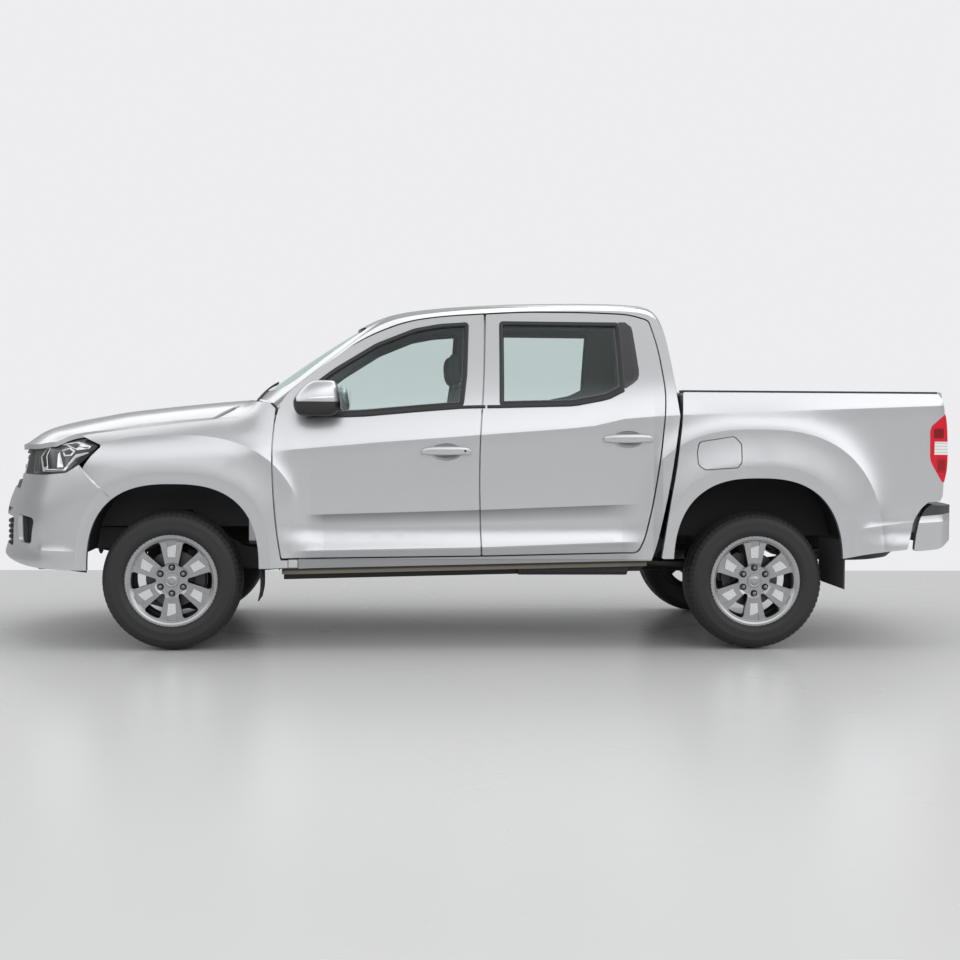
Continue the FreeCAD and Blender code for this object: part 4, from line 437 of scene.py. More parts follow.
# %% Closed tubes and turned forms
def ends_closed(grid):
    """A tube's grid with a middle point added at both ends, which closes it."""
    first = np.broadcast_to(grid[:1].mean(axis=1, keepdims=True), grid[:1].shape)
    last = np.broadcast_to(grid[-1:].mean(axis=1, keepdims=True), grid[-1:].shape)
    return np.concatenate([first, grid, last], axis=0)


def turned(profile, count, centre=(0.0, 0.0, 0.0), start=0.0):
    """A turned form: radius and depth pairs, in millimetres, carried round a line along Y. Depth
    is measured towards the left."""
    radius, depth = np.array(profile, float).T / 1000.0
    angle = circle(count, start)[:, None]
    return at(radius * np.cos(angle), -depth, radius * np.sin(angle)) + np.array(centre)


# %% The floor and the light
WALL_Y, FLOOR_END, FLOOR_Z = 3.3, 40.0, -0.002
FLOOR_GREYS = (0.475, 0.475, 0.473), (0.505, 0.505, 0.503)
floor_finish = Finish("studio_floor", Specular_IOR_Level=0.35)
cloud = floor_finish.noise(0.35, 3.0, (1.0, 0.6, 1.0))
floor_finish.feed(
    Base_Color=floor_finish.blend(cloud, *FLOOR_GREYS),
    Roughness=floor_finish.noise(0.5, 2.0) * 0.03 + 0.26,
)
ground = at(np.array([[-FLOOR_END], [FLOOR_END]]), np.array([-FLOOR_END, WALL_Y]), FLOOR_Z)
floor = surface("floor", ground, floor_finish, smooth=False)
print("the wall starts at Y", WALL_Y)

# %% [markdown]
# ## The room that the paint mirrors
#
# Car paint is a mirror, so it needs a room: a floor, a darker strip near the horizon and bright
# upper walls. Real walls would hide the truck from behind, so the world holds the room as greys by
# height for mirrored and scattered rays only. The upper part is brighter to the rear.

# %% The world
# The room's grey by height, from the floor up, and how much lower it stands beyond the truck.
ROOM = ((0.0, 0.36), (0.18, 0.24), (0.27, 0.24), (0.34, 0.50), (0.41, 1.74), (0.68, 1.66),
        (1.0, 0.62))
WALL_COLOUR = (0.85, 0.85, 0.868)
BEYOND_SINKS = -0.30
world = bpy.data.worlds.new("studio")
bpy.context.scene.world = world
studio = Nodes(world)
x, y, z = studio.axes("Generated")
height = studio.node("ShaderNodeMapRange", {}, {
    "Value": z.math("MULTIPLY_ADD", y.high(0.0), BEYOND_SINKS, z),
    "From Min": -0.2, "From Max": 0.8,
})
greys = [(place, (grey, grey * 1.005, grey * 1.015, 1.0)) for place, grey in ROOM]
room = studio.node("ShaderNodeValToRGB", {"stops": greys}, (height,))
rearwards = studio.node("ShaderNodeMapRange", {}, {
    "Value": x, "From Min": -0.08, "From Max": 0.16, "To Min": 0.0, "To Max": 0.42,
})
upper = studio.node("ShaderNodeMapRange", {}, {"Value": height, "From Min": 0.34, "From Max": 0.46})
brightness = x.math("MULTIPLY_ADD", rearwards, upper, 1.0)
shine = studio.node("ShaderNodeBackground", {}, (room, brightness))
wall = studio.node("ShaderNodeBackground", {}, (WALL_COLOUR, 1.0))
rays = studio.node("ShaderNodeLightPath").socket.node.outputs
seen = Wire(studio, rays["Is Camera Ray"]).high(Wire(studio, rays["Is Transmission Ray"]))
either = studio.node("ShaderNodeMixShader", {}, (seen, shine, wall))
studio.join(studio.tree.nodes.new("ShaderNodeOutputWorld").inputs[0], either)

# %% [markdown]
# ## Two soft lamps
#
# A car studio is lit by large flat lamps, because small ones make hard points in the paint. A
# wide ceiling lamp gives the light and the soft shadow, and a weaker one fills the side. They are
# left out of mirror rays, since the world already holds what the paint reflects.

# %% Two large lamps
def lamp(name, place, target, size, power):
    """A rectangular lamp that faces a point."""
    light = bpy.data.lights.new(name, "AREA")
    light.shape = "RECTANGLE"
    light.size, light.size_y = size
    light.energy = power
    item = bpy.data.objects.new(name, light)
    item.location = place
    aim = Vector(target) - item.location
    item.rotation_euler = aim.to_track_quat("-Z", "Y").to_euler()
    item.visible_glossy = False
    bpy.context.scene.collection.objects.link(item)
    return item


lamp("ceiling_lamp", (0.0, -0.5, 6.5), (0.0, 0.0, 0.0), (9.0, 5.0), 190.0)
lamp("side_lamp", (-3.0, -8.0, 4.5), (0.0, 0.0, 0.8), (5.0, 2.5), 40.0)
print("world nodes", len(studio.tree.nodes))

# %% [markdown]
# ## Finishes of the solids
#
# The panels carry sharp creases that the solids have only softly. Each crease is a bump height
# that reads the distance to a broken line in side view. Below two of them, painted shade darkens
# the base colour.
#
# Silver metallic paint is a clear coat over a base in which small flakes lie flat. Up close each
# flake shines by itself, and from a step away it is a soft grey mirror. The base is part metallic,
# fairly rough, with a fine grain, and the clear coat over it is smooth.

# %% Lines in the paint
CREASE = ((-1.065, 1.071), (-0.531, 1.119), (0.482, 1.198), (0.642, 1.215), (0.803, 1.254),
          (1.009, 1.271), (1.786, 1.306), (2.561, 1.337))
SCALLOP = ((-0.95, 0.728), (0.022, 0.759), (0.905, 0.795))
LOW_BAND = ((-0.998, 0.537), (0.023, 0.558), (0.885, 0.591))
BED_BAND = ((2.08, 0.662), (2.41, 0.700))

# A wheel opening: its middle, half length and rise. Its lip: the ratio where it lies, and a ridge.
FRONT_ARCH, REAR_ARCH, ARCH_FOOT, ARCH_POWER = (
    (-1.606, 0.455, 0.464), (1.539, 0.465, 0.508), 0.43, 2.6,
)
LIP_AT, LIP = 1.13, (0.0, 0.12, 0.06)
print("corners of the shoulder crease", len(CREASE))


def broken(x, corners):
    """The height of a line through corners in X and Z: a slope, and a change of slope at each
    corner that counts only behind it."""
    slopes = [(b[1] - a[1]) / (b[0] - a[0]) for a, b in zip(corners, corners[1:])]
    line = (x - corners[0][0]) * slopes[0] + corners[0][1]
    for corner, before, after in zip(corners[1:-1], slopes, slopes[1:]):
        line = line + (x - corner[0]).high(0.0) * (after - before)
    return line


def ridge(gap, above, below, reach):
    """Height of a ridge line, in metres, from the distance to it. It falls away on both sides
    at the given slopes, which fade over the reach, to nothing far above the line."""
    up_side = 1.0 - gap.math("EXPONENT", gap.high(0.0) * (-1.0 / reach))
    down_side = 1.0 - gap.math("EXPONENT", gap.low(0.0) * (1.0 / reach))
    return (up_side * above + down_side * below - above) * -reach


def arch_ratio(x, z, middle, reach, rise):
    """1 on the edge of a wheel opening and more outside it, as on a superellipse."""
    across = (abs(x - middle) / reach) ** ARCH_POWER
    up = ((z - ARCH_FOOT).high(0.0) / rise) ** ARCH_POWER
    return (across + up) ** (1 / ARCH_POWER)


def body_lines(finish):
    """Bump heights of the creases on the sides, and the painted shade below them, from the point's
    place alone."""
    x, y, z = finish.axes()
    # The sides: 0.80 m and more from the middle, ahead of the tail lamps.
    side = abs(y).above(0.80, 0.02) * x.below(2.55, 0.02)
    # Each crease: its slopes above and below, its reach, and the stretch along X where it runs.
    from_scallop, from_low = z - broken(x, SCALLOP), z - broken(x, LOW_BAND)
    lines = ridge(z - broken(x, CREASE), 0.16, 0.10, 0.05) * x.above(-1.02, 0.12)
    lines = lines + ridge(from_scallop, 0.02, 0.20, 0.045) * x.within(-0.86, 0.86, 0.10, 0.12)
    lines = lines + ridge(from_low, 0.28, 0.14, 0.034) * x.within(-0.93, 0.82, 0.14)
    lines = lines + ridge(z - broken(x, BED_BAND), 0.24, 0.10, 0.045) * x.above(2.13, 0.06)
    for arch, near, edge, slopes in (
        (FRONT_ARCH, x.below(-0.93, 0.10), 1.56, (0.17, 0.05, 0.15)),
        (REAR_ARCH, x.above(0.99, 0.05), 1.52, (0.22, 0.06, 0.16)),
    ):
        ratio = arch_ratio(x, z, *arch)
        lines = lines + (ridge(ratio - edge, *slopes) + ridge(ratio - LIP_AT, *LIP)) * near
    # Under the scallop the door is tucked in, and under the low band it faces the ground. Below
    # both
    # # lines the base colour is darkened as painted shade.
    scallop_shade = from_scallop.above(-0.0375, 0.075) * from_scallop.below(0.0, 0.003)
    scallop_shade = scallop_shade * x.within(-0.86, 0.80, 0.10, 0.20)
    low_band_shade = from_low.below(-0.004, 0.012) * x.within(-0.95, 0.86, 0.10) * z.above(0.49, 0.01)
    finish.shade = 1.0 - (scallop_shade * 0.55 + low_band_shade * 0.30) * side
    return lines * side


# %% Paint
PAINT_LOW, PAINT_HIGH = (0.47, 0.475, 0.487), (0.55, 0.555, 0.568)
NO_LIGHT, UNDERSEAL = (0.0, 0.0, 0.0), (0.012, 0.012, 0.012)
METAL, CLEAR_COAT = 0.8, 0.8


def silver(name, lines=False):
    """Silver paint. Its flakes, base colour and gloss are kept for formulas that add to them."""
    finish = Finish(name, Metallic=METAL, Coat_Weight=CLEAR_COAT, Coat_Roughness=0.03)
    finish.flakes = finish.noise(2600.0, 1.0)
    finish.base = finish.blend(finish.flakes, PAINT_LOW, PAINT_HIGH)
    finish.gloss = finish.flakes * 0.12 + 0.27
    if lines:
        finish.bump(body_lines(finish), 1.0, 1.0)
        # Painted shade: below the scallop and low band the base colour is blended towards black.
        finish.base = finish.blend(finish.shade, NO_LIGHT, finish.base)
    return finish.feed(Base_Color=finish.base, Roughness=finish.gloss)


def dull(finish, bare, colour, rougher):
    """A base colour, with no metal or clear coat where bare is 1, and a roughness on top."""
    finish.feed(
        Base_Color=colour, Metallic=(1.0 - bare) * METAL, Coat_Weight=(1.0 - bare) * CLEAR_COAT,
        Roughness=rougher + finish.gloss,
    )


def painted_but(finish, mask, colour, roughness=0.5):
    """Bare plastic or dark coating instead of paint where the mask is 1."""
    dull(finish, mask, finish.blend(mask, finish.base, colour), mask * (roughness - 0.3))


# %% [markdown]
# ## Paint outside and lining inside
#
# The cab is one solid, painted outside and lined inside, so its finish has to know where it is.
# Two materials on two sets of faces would need the faces chosen by hand. A mask made from the
# point's place does the same by itself: it is 1 inside a box that leans in as the cab does.

# %% Doors, cab and sills
paint = silver("silver_paint", lines=True)
cab_paint = silver("cab_paint_and_lining", lines=True)
x, y, z = cab_paint.axes()
# The lining is all that lies inside the cab's skin, which leans in above the belt line and falls
# away over the windscreen.
side_limit = 0.836 - (z - 1.24).high(0.0) * 0.43
roof_limit = 1.876 - (x * -1.0 - 0.40).high(0.0) * 0.80
inside = (side_limit - abs(y)).above(0.0, 0.01) * (roof_limit - z).above(0.0, 0.01)
inside = inside * x.within(-1.19, 1.08, 0.01) * z.above(0.55, 0.01)
lining = cab_paint.blend(cab_paint.noise(900.0), (0.16, 0.17, 0.165), (0.21, 0.22, 0.215))
under = z.below(0.56, 0.01) * abs(y).below(0.86, 0.01)
# Painted shade: the sill's face below the doors' lower edge is painted darker.
sill_shade = 1.0 - z.below(0.494, 0.004) * 0.42 * x.within(-1.2, 1.0, 0.01)
shell = cab_paint.blend(sill_shade, NO_LIGHT, cab_paint.base)
shell = cab_paint.blend(under, shell, (0.02, 0.02, 0.02))
dull(cab_paint, inside.high(under), cab_paint.blend(inside, shell, lining), inside * 0.5)
coat(cab_paint, "cab_shell", "cab_sills")
coat(paint, "hood", "tailgate", "fuel_door", *both("door_front"), *both("door_rear"))

# %% [markdown]
# ## Dark edges
#
# Wheel housings are sprayed with a matt black coating, and the openings of the bumper are bare
# black plastic. The edges of both follow forms that a formula knows: the arch's superellipse, and
# the bumper's curve in plan.

# %% Bed, fenders and bumper, dark where the wheels throw stones
bed_paint = silver("bed_paint_and_underseal", lines=True)
x, y, z = bed_paint.axes()
wheel_box = arch_ratio(x, z, *REAR_ARCH).below(1.16, 0.01) * z.below(1.0)
below = z.below(0.868, 0.004).high(wheel_box) * abs(y).below(0.893, 0.006)
painted_but(bed_paint, below, UNDERSEAL, 0.7)
coat(bed_paint, "load_bed")
wing_paint = silver("fender_paint_and_underseal", lines=True)
x, y, z = wing_paint.axes()
hidden = arch_ratio(x, z, *FRONT_ARCH).below(1.05, 0.01) * abs(y).below(0.918, 0.004)
painted_but(wing_paint, hidden, UNDERSEAL, 0.7)
coat(wing_paint, "front_fenders")

nose_paint = silver("bumper_paint_and_vents")
x, y, z = nose_paint.axes()
shelf = ridge(z - 0.533, 0.30, 0.10, 0.03) * x.within(-2.33, -2.14, 0.04, 0.10)
lip = ridge(arch_ratio(x, z, *FRONT_ARCH) - LIP_AT, *LIP)
nose_paint.bump((shelf + lip) * abs(y).above(0.5, 0.1), 1.0, 1.0)
# In plan the nose is a parabola, and the fog lamp's recess lies a little inside it.
nose_curve = abs(y) - ((x + 2.665).high(0.0) * 2.0) ** 0.5
recess = nose_curve.below(-0.030, 0.010) * z.within(0.515, 0.735, 0.004) * x.below(-2.325, 0.004)
painted_but(nose_paint, recess, (0.015, 0.015, 0.016), 0.6)
coat(nose_paint, "front_bumper")
print("painted finishes", [m.name for m in bpy.data.materials if "paint" in m.name])


# %% [markdown]
# ## Plain finishes
#
# Plastic, iron and rubber differ in colour, roughness and grain. One function makes them all,
# with a slow noise in the colour, so that no surface is quite even. Glass lets light straight
# through, tinted a little, with a small share of mirror. Real refraction in so thin a pane would
# look the same and only cost noise.

# %% Plastics, metals, rubber and glass
def plain(name, colour, roughness, grain=0.0, size=600.0, spread=0.12, **more):
    """A finish of one colour, a little uneven, with a grain in the surface."""
    finish = Finish(name, Roughness=roughness, **more)
    uneven = finish.noise(3.0, 3.0)
    darker = tuple(c * (1 - spread) for c in colour)
    lighter = tuple(c * (1 + spread) for c in colour)
    finish.feed(Base_Color=finish.blend(uneven, darker, lighter))
    finish.feed(Roughness=uneven * 0.12 + (roughness - 0.06))
    if grain:
        finish.bump(finish.noise(size, 2.0), grain)
    return finish


# %% The plain finishes
black = plain("textured_black_plastic", (0.022, 0.022, 0.023), 0.5, 0.25, 900.0)
seal = plain("window_seal_rubber", (0.012, 0.012, 0.013), 0.42)
dark_metal = plain("chassis_black", (0.018, 0.018, 0.019), 0.55, 0.2, 300.0)
iron = plain("cast_metal", (0.030, 0.029, 0.028), 0.6, 0.4, 250.0, Metallic=0.6)
steel = plain("spring_steel", (0.030, 0.030, 0.031), 0.5, 0.2, 200.0, Metallic=0.6)
pipe_steel = plain("heat_tinted_steel", (0.32, 0.29, 0.26), 0.38, 0.1, 120.0, Metallic=0.9)
chrome = plain("bright_chrome", (0.72, 0.73, 0.75), 0.10, Metallic=1.0, spread=0.03)
alloy = plain("wheel_alloy", (0.62, 0.63, 0.645), 0.30, 0.05, 900.0, Metallic=0.85, spread=0.05)
dash = plain("grained_dashboard", (0.045, 0.047, 0.048), 0.6, 0.4, 700.0)
liner = plain("arch_liner_plastic", (0.006, 0.006, 0.006), 0.75, 0.3, 300.0)
flap = plain("flap_rubber", (0.025, 0.025, 0.026), 0.6, 0.3, 400.0)
tank = plain("moulded_tank", (0.03, 0.03, 0.032), 0.5, 0.2, 300.0)
rubber = plain("tyre_rubber", (0.013, 0.013, 0.0135), 0.62, 0.25, 700.0)
cloth = plain("seat_cloth", (0.055, 0.06, 0.062), 0.85, 0.6, 1400.0)

glass = Finish("tinted_glass", Roughness=0.02, Metallic=1.0, Base_Color=(0.80, 0.86, 0.85))
clear = glass.node("ShaderNodeBsdfTransparent", {}, ((0.884, 0.923, 0.914),))
mirrored = Wire(glass, glass.shader.outputs[0])
glass.join(glass.output.inputs[0], glass.node("ShaderNodeMixShader", {}, (0.04, clear, mirrored)))

coat(glass, "cab_glass", *both("glass_front"), *both("glass_rear"))
coat(black, "bed_rail_caps", "wipers")
coat(dark_metal, "chassis_frame", "cross_members", "front_apron")
coat(iron, "front_suspension", "rear_axle", "engine_block", *both("knuckle"))
coat(steel, "leaf_springs", "propeller_shaft")
coat(pipe_steel, "exhaust")
coat(dash, "dashboard", "steering_wheel")
coat(liner, "arch_liners", "rear_arch_liners")
coat(flap, "rear_mud_flaps")
coat(tank, "fuel_tank")
coat(rubber, "spare_wheel")
for corner in ("front_left", "front_right", "rear_left", "rear_right"):
    coat(alloy, "rim_" + corner)
print("finishes", len(bpy.data.materials))

# %% [markdown]
# ## Pieces of two colours
#
# The rear bumper is silver with a black step on top, and each tail lamp has red, dark and clear
# cells. They could be cut into pieces of their own, but the edges are only lines in one smooth
# surface, so masks by height and length draw them.

# %% Two-colour pieces
step_pad = silver("rear_bumper_finish")
x, y, z = step_pad.axes()
dark_top = (z - broken(x, ((2.45, 0.731), (2.64, 0.748)))).above(0.0).high(z.above(0.751))
painted_but(step_pad, dark_top, (0.035, 0.037, 0.038), 0.5)
step_pad.bump(ridge(z - broken(x, ((2.45, 0.694), (2.64, 0.708))), 0.30, 0.10, 0.03), 1.0, 1.0)
coat(step_pad, "rear_bumper")

LENS_RED, DEEP_RED = (0.60, 0.006, 0.022), (0.20, 0.002, 0.006)
red = plain("red_lamp_lens", LENS_RED, 0.20, Specular_IOR_Level=0.25, Coat_Weight=0.25)
x, y, z = red.axes()
# A clear cell with fine bars, and a dark cell above and below it.
clear_cell = z.within(1.069, 1.140) * x.above(2.512)
bars = (z * 60.0).fraction().above(0.86, 0.05)
deep = z.within(1.158, 1.212) * x.within(2.506, 2.563)
deep = deep.high(z.within(0.975, 1.045, 0.02) * x.within(2.53, 2.58, 0.01) * 0.8)
lens = red.blend(deep, LENS_RED, DEEP_RED)
red.feed(Base_Color=red.blend(
    clear_cell, lens, red.blend(bars, (0.72, 0.73, 0.71), (0.32, 0.34, 0.33)),
))
coat(red, "tail_lamps")
print("two-colour pieces: rear_bumper, tail_lamps")

# %% [markdown]
# ## Tyres
#
# A road tyre is a turned shape with four rain grooves round it and short cross cuts in its
# shoulders. The whole tyre is one grid: the section's points run from bead to bead, and the angle
# runs round the wheel. The depth of the tread is subtracted from the radius where a groove is. It
# could be a plain ring with blocks laid round it, but one grid has no seams to close.

# %% Tyres with tread
TYRE_RADIUS, WHEEL_Y, FRONT_X, REAR_X = 0.374, 0.790, -1.620, 1.535
PITCHES, STEPS = 72, 6
WALL_RADII = (246.5, 250, 262, 276, 279, 282, 300, 318, 321, 324, 338, 348)
WALL_PLACES = (107, 114, 122.5, 126.5, 127.2, 126.8, 127.5, 126.2, 126.6, 124.5, 119.5, 113.5)
CROWN_PLACES = (109, 103, 96, 90, 88.5, 76, 64, 60.5, 59.5, 51.5, 50.5, 40, 30, 21.5, 20.5, 12.5,
                11.5, 6, 0)
GROOVES = ((0.0507, 0.0598), (0.0117, 0.0208))
GROOVE_DEPTH, CUT_DEPTH, SLIT_DEPTH, TREAD_EDGE = 0.0075, 0.0055, 0.0035, 0.1125


def tyre_points():
    """A grid of angle by section place. Radius = section height less the tread: rings at four
    places across, a cut in the shoulders at each pitch, and a slit between the rings."""
    wall_r, wall_y, crown_y = (np.array(row) / 1000.0 for row in (
        WALL_RADII, WALL_PLACES, CROWN_PLACES,
    ))
    rounding = np.clip((crown_y - 0.085) / 0.03, 0, 1)
    crown_r = TYRE_RADIUS - 0.010 * (crown_y / 0.1) ** 2 - 0.012 * rounding ** 2
    crown_r[0] -= 0.004
    half_y, half_r = np.concatenate([wall_y, crown_y]), np.concatenate([wall_r, crown_r])
    across = np.concatenate([-half_y, half_y[-2::-1]])
    radius = np.concatenate([half_r, half_r[-2::-1]])
    size = np.abs(across)
    ring = sum((size > inner) & (size < outer) for inner, outer in GROOVES)
    phase = (np.arange(PITCHES * STEPS) % STEPS)[:, None]
    cut = (phase == 0) & (size > 0.0605) & (size < TREAD_EDGE)
    slit = (phase == 3) & (size > 0.0215) & (size < 0.0500)
    depth = GROOVE_DEPTH * ring + CUT_DEPTH * cut + SLIT_DEPTH * slit
    high = radius - np.where(size < TREAD_EDGE, depth, 0.0)
    angle = circle(PITCHES * STEPS)[:, None]
    return at(high * np.cos(angle), across, high * np.sin(angle))


WHEELS = {
    "front_left": (FRONT_X, -WHEEL_Y), "front_right": (FRONT_X, WHEEL_Y),
    "rear_left": (REAR_X, -WHEEL_Y), "rear_right": (REAR_X, WHEEL_Y),
}
tread = tyre_points()
for corner, (axle_x, wheel_y) in WHEELS.items():
    ring = surface(
        "road_tyre_" + corner, tread + np.array([axle_x, wheel_y, TYRE_RADIUS]), rubber,
        "wheel_" + corner, **RING,
    )
    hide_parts("tyre_" + corner)
print("tyre points", tread.shape[:2])

# %% [markdown]
# ## Wheels
#
# A rim is bright on its spokes and lip and dull in its barrel, whose near black colour is painted
# shade, so one finish reads the depth in from the outer face and the distance from the axle. The
# nuts sit on dark dishes round a plain cap, painted shade for the holes they sit in, and a caliper
# grips the disc behind the spokes. A cap is a turned form, and a nut is one with only six sides.

# %% Rims
SPOKES = 6
x, y, z = alloy.axes()
along_x, along_z = x - FRONT_X - x.above(0.0) * (REAR_X - FRONT_X), z - TYRE_RADIUS
from_axle = (along_x ** 2 + along_z ** 2) ** 0.5
# Inside the face lie the barrel and, nearer the middle, the brake disc; the barrel is painted
# # near black as painted shade behind the spokes, and the disc a dark grey. Each spoke has a bright
# # inlay, a wedge round its middle line that ends at a slant.
deep = abs(y).below(0.858, 0.004)
spoke = x.math("ARCTAN2", along_z, along_x) * (SPOKES / math.tau) + 12.0
off_spoke = (spoke.fraction() - 0.5) * from_axle * (math.tau / SPOKES)
disc = abs(y).below(0.80, 0.004) * from_axle.below(0.1535, 0.001)
# The deep part: near black as painted shade in the barrel, dark grey on the brake disc.
barrel_shade_and_disc = alloy.blend(disc, (0.035, 0.035, 0.036), (0.12, 0.12, 0.12))
wedge = (abs(off_spoke) - from_axle * 0.085).below(0.0095, 0.001) * from_axle.above(0.124, 0.001)
inlay = wedge * (from_axle + off_spoke * 0.35).below(0.186, 0.001)
lip_ring = from_axle.above(0.2185, 0.002)
tone = inlay * 0.34 + lip_ring * 0.02 + 0.34
face = alloy.blend(tone, NO_LIGHT, (1.0, 1.005, 1.02))
alloy.bump(inlay * 0.0012 - lip_ring * 0.002, 1.0, 1.0)
alloy.feed(Base_Color=alloy.blend(deep, face, barrel_shade_and_disc), Roughness=deep * 0.15 + 0.27)

# %% Nuts, caps and brakes
cap_finish = plain("wheel_cap_metal", (0.34, 0.345, 0.35), 0.32, Metallic=0.8)
# The nut sockets are dark dishes of painted shade round each nut; the key cylinder uses the same
# black.
socket = plain("nut_socket", (0.012, 0.012, 0.012), 0.5)
nut_finish = plain("wheel_nut_metal", (0.22, 0.22, 0.225), 0.28, Metallic=0.9)
caliper_finish = plain("caliper_metal", (0.10, 0.10, 0.10), 0.5, 0.3, 300.0, Metallic=0.7)
CALIPER = np.array([
    (104, 52), (104, 12), (112, 4), (168, 4), (176, 14), (176, 56), (168, 64), (112, 64),
]) / 1000.0
sockets, nuts = [], []
for k in range(SPOKES):
    angle = math.radians(30 + 60 * k)
    centre = (0.070 * math.cos(angle), -WHEEL_Y, 0.070 * math.sin(angle))
    sockets.append(turned(
        [(18.5, 76.2), (18.5, 77.6), (16.0, 78.4), (15.0, 76.5), (0.01, 76.5)], 28, centre,
    ))
    nuts.append(turned(
        [(11.5, 76.0), (11.5, 86.0), (9.5, 90.0), (5.0, 92.0), (0.01, 92.4)], 6, centre, 0.5,
    ))
cap = turned([
    (36.5, 75.0), (36.5, 81.0), (34.5, 83.0), (30.0, 83.4), (28.5, 81.5), (26.0, 81.5),
    (24.5, 83.8), (14.0, 85.6), (0.01, 86.2),
], 48, (0.0, -WHEEL_Y, 0.0))
for corner, (axle_x, wheel_y) in WHEELS.items():
    flip = np.array([1.0, -1.0 if wheel_y > 0 else 1.0, 1.0])
    hub = np.array([axle_x, 0.0, TYRE_RADIUS])
    for name, grids, finish, closed in (
        ("nut_sockets_", sockets, socket, RING), ("wheel_nuts_", nuts, nut_finish, PLATE),
        ("centre_cap_", [cap], cap_finish, RING),
    ):
        placed = [grid * flip + hub for grid in grids]
        several(name + corner, placed, finish, "wheel_" + corner, **closed)
    steered = corner.startswith("front")
    holder = "steered_" + corner.split("_")[1] if steered else "truck"
    sweep = np.radians(np.linspace(-34.0, 34.0, 12) + (0.0 if steered else 150.0))[:, None]
    shrink = 1.0 - 0.12 * np.abs(np.linspace(-1, 1, 12))[:, None] ** 4
    radius = 0.140 + (CALIPER[:, 0] - 0.140) * shrink
    grip_form = at(radius * np.cos(sweep), CALIPER[:, 1] - WHEEL_Y, radius * np.sin(sweep))
    surface("caliper_" + corner, ends_closed(grip_form) * flip + hub, caliper_finish, holder, **BAR)
print("wheels dressed", list(WHEELS))

# %% [markdown]
# ## Window frames
#
# Rubber runs round each pane, and the inner frame of the door shows behind the glass as a dark
# border. Both are strips that follow the window's outline. Their height comes from the door's own
# surface, which a ray across the vehicle finds.

# %% Seals, inner frames and belt strips
WINDOWS = {
    "front": [(-905, 1256), (-599, 1269), (-307, 1296), (-66, 1317), (-44, 1489), (-30, 1776),
              (-189, 1764), (-328, 1737), (-534, 1653), (-760, 1512), (-935, 1378)],
    "rear": [(132, 1319), (531, 1331), (716, 1369), (806, 1415), (803, 1782), (142, 1783)],
}
BELTS = {
    "front": [(-900, 1256), (-599, 1268), (-307, 1295), (-66, 1315), (53, 1318)],
    "rear": [(63, 1318), (132, 1319), (531, 1331), (716, 1367), (806, 1412)],
}
inner_trim = plain("inner_door_trim", (0.085, 0.098, 0.094), 0.7, 0.2, 700.0)
SEAL_SECTION = [(-3, -2), (-3, 2), (4, 4), (13, 3), (20, -4), (22, -9.2), (10, -9.2)]
FRAME_SECTION = [(3, -17), (18, -24), (25, -36), (26, -60), (3, -60)]
BELT_SECTION = [(-12, -1), (-12, 2.5), (-2, 4.5), (5, 3.0), (5, -1)]
SKIN = {}
for where, corners in WINDOWS.items():
    skins = skin("door_" + where + "_left"), skin("glass_" + where + "_left")
    SKIN[where] = skins
    path = outline(corners, 0.022)
    leaf = "leaf_" + where + "_{}"
    on_both_sides("window_seal_" + where, [band(path, SEAL_SECTION, *skins)], seal, leaf, **LOOP)
    on_both_sides("inner_frame_" + where, [band(path, FRAME_SECTION, *skins)], inner_trim, leaf,
                  **LOOP)
    belt = strip(BELTS[where], BELT_SECTION, *skins)
    on_both_sides("belt_strip_" + where, [belt], seal, leaf, **TUBE)

# %% [markdown]
# ## Quarter panel
#
# Behind the rear window the door's frame is covered by a dark glossy panel with a slanted rear
# edge. It is a grid between two lines, laid on the door and raised a little inside its rim.

# %% The dark quarter panel behind the rear window
dark_glass = plain("dark_quarter_glass", (0.018, 0.016, 0.021), 0.12, Coat_Weight=0.6, spread=0.02)
QUARTER_FRONT, PANEL_LIFT = 0.800, 0.0022
levels = np.linspace(1.418, 1.786, 16)[:, None]
right_edge = np.interp(levels, [1.414, 1.430, 1.462, 1.480, 1.509, 1.640, 1.745, 1.768, 1.786],
                       [0.812, 0.838, 0.880, 0.888, 0.892, 0.882, 0.874, 0.866, 0.838])
quarter_x = QUARTER_FRONT + (right_edge - QUARTER_FRONT) * np.linspace(0.0, 1.0, 7)
lift = np.full(quarter_x.shape, PANEL_LIFT)
lift[[0, -1]] = 0.0
lift[:, -1] = 0.0
quarter_y = laid(SKIN["rear"][0], quarter_x, levels, lift, SKIN["rear"][1])
on_both_sides("quarter_panel", [at(quarter_x, quarter_y, levels)], dark_glass, "leaf_rear_{}",
              facing=(0.0, -1.0, 0.0))

# %% [markdown]
# ## Small trim on the doors and sills
#
# The key cylinder is a turned button in the front handle's line. Under the doors, the sill ends
# in a welded flange with a pale edge, its dark upper bar is painted shadow under the sill, and a
# rail shows in the shadow below it. They are bars with a box section, moved along one line that
# rises to the rear as the sill does.

# %% Key cylinder and sill strips
KEYHOLE = [(6.5, 18.0), (6.5, 27.4), (3.0, 27.8), (0.01, 26.8)]
keyhole = turned(KEYHOLE, 20, (-0.056, -0.9230, 1.0765))
on_both_sides("key_cylinder", [keyhole], socket, "leaf_front_{}", **RING)
# Painted shadow: the dark bar above the flange's pale edge stands for the shade under the sill.
sill_shadow = plain("sill_flange_coating", (0.050, 0.043, 0.033), 0.6, 0.3, 400.0)
sill_pale = plain("sill_flange_edge", (0.165, 0.150, 0.115), 0.6, 0.3, 400.0)
run = np.linspace(-1.035, 0.940, 30)
sill_line = 0.442 + (run + 0.944) * 0.02422


def flange(top, bottom, outer, inner):
    """A bar along the sill between two drops below the sill's lower edge."""
    corners = [(outer, top), (outer, bottom), (inner, bottom), (inner, top)]
    rows = [at(run, -y, sill_line - drop) for y, drop in corners]
    return ends_closed(np.stack(rows, axis=1))


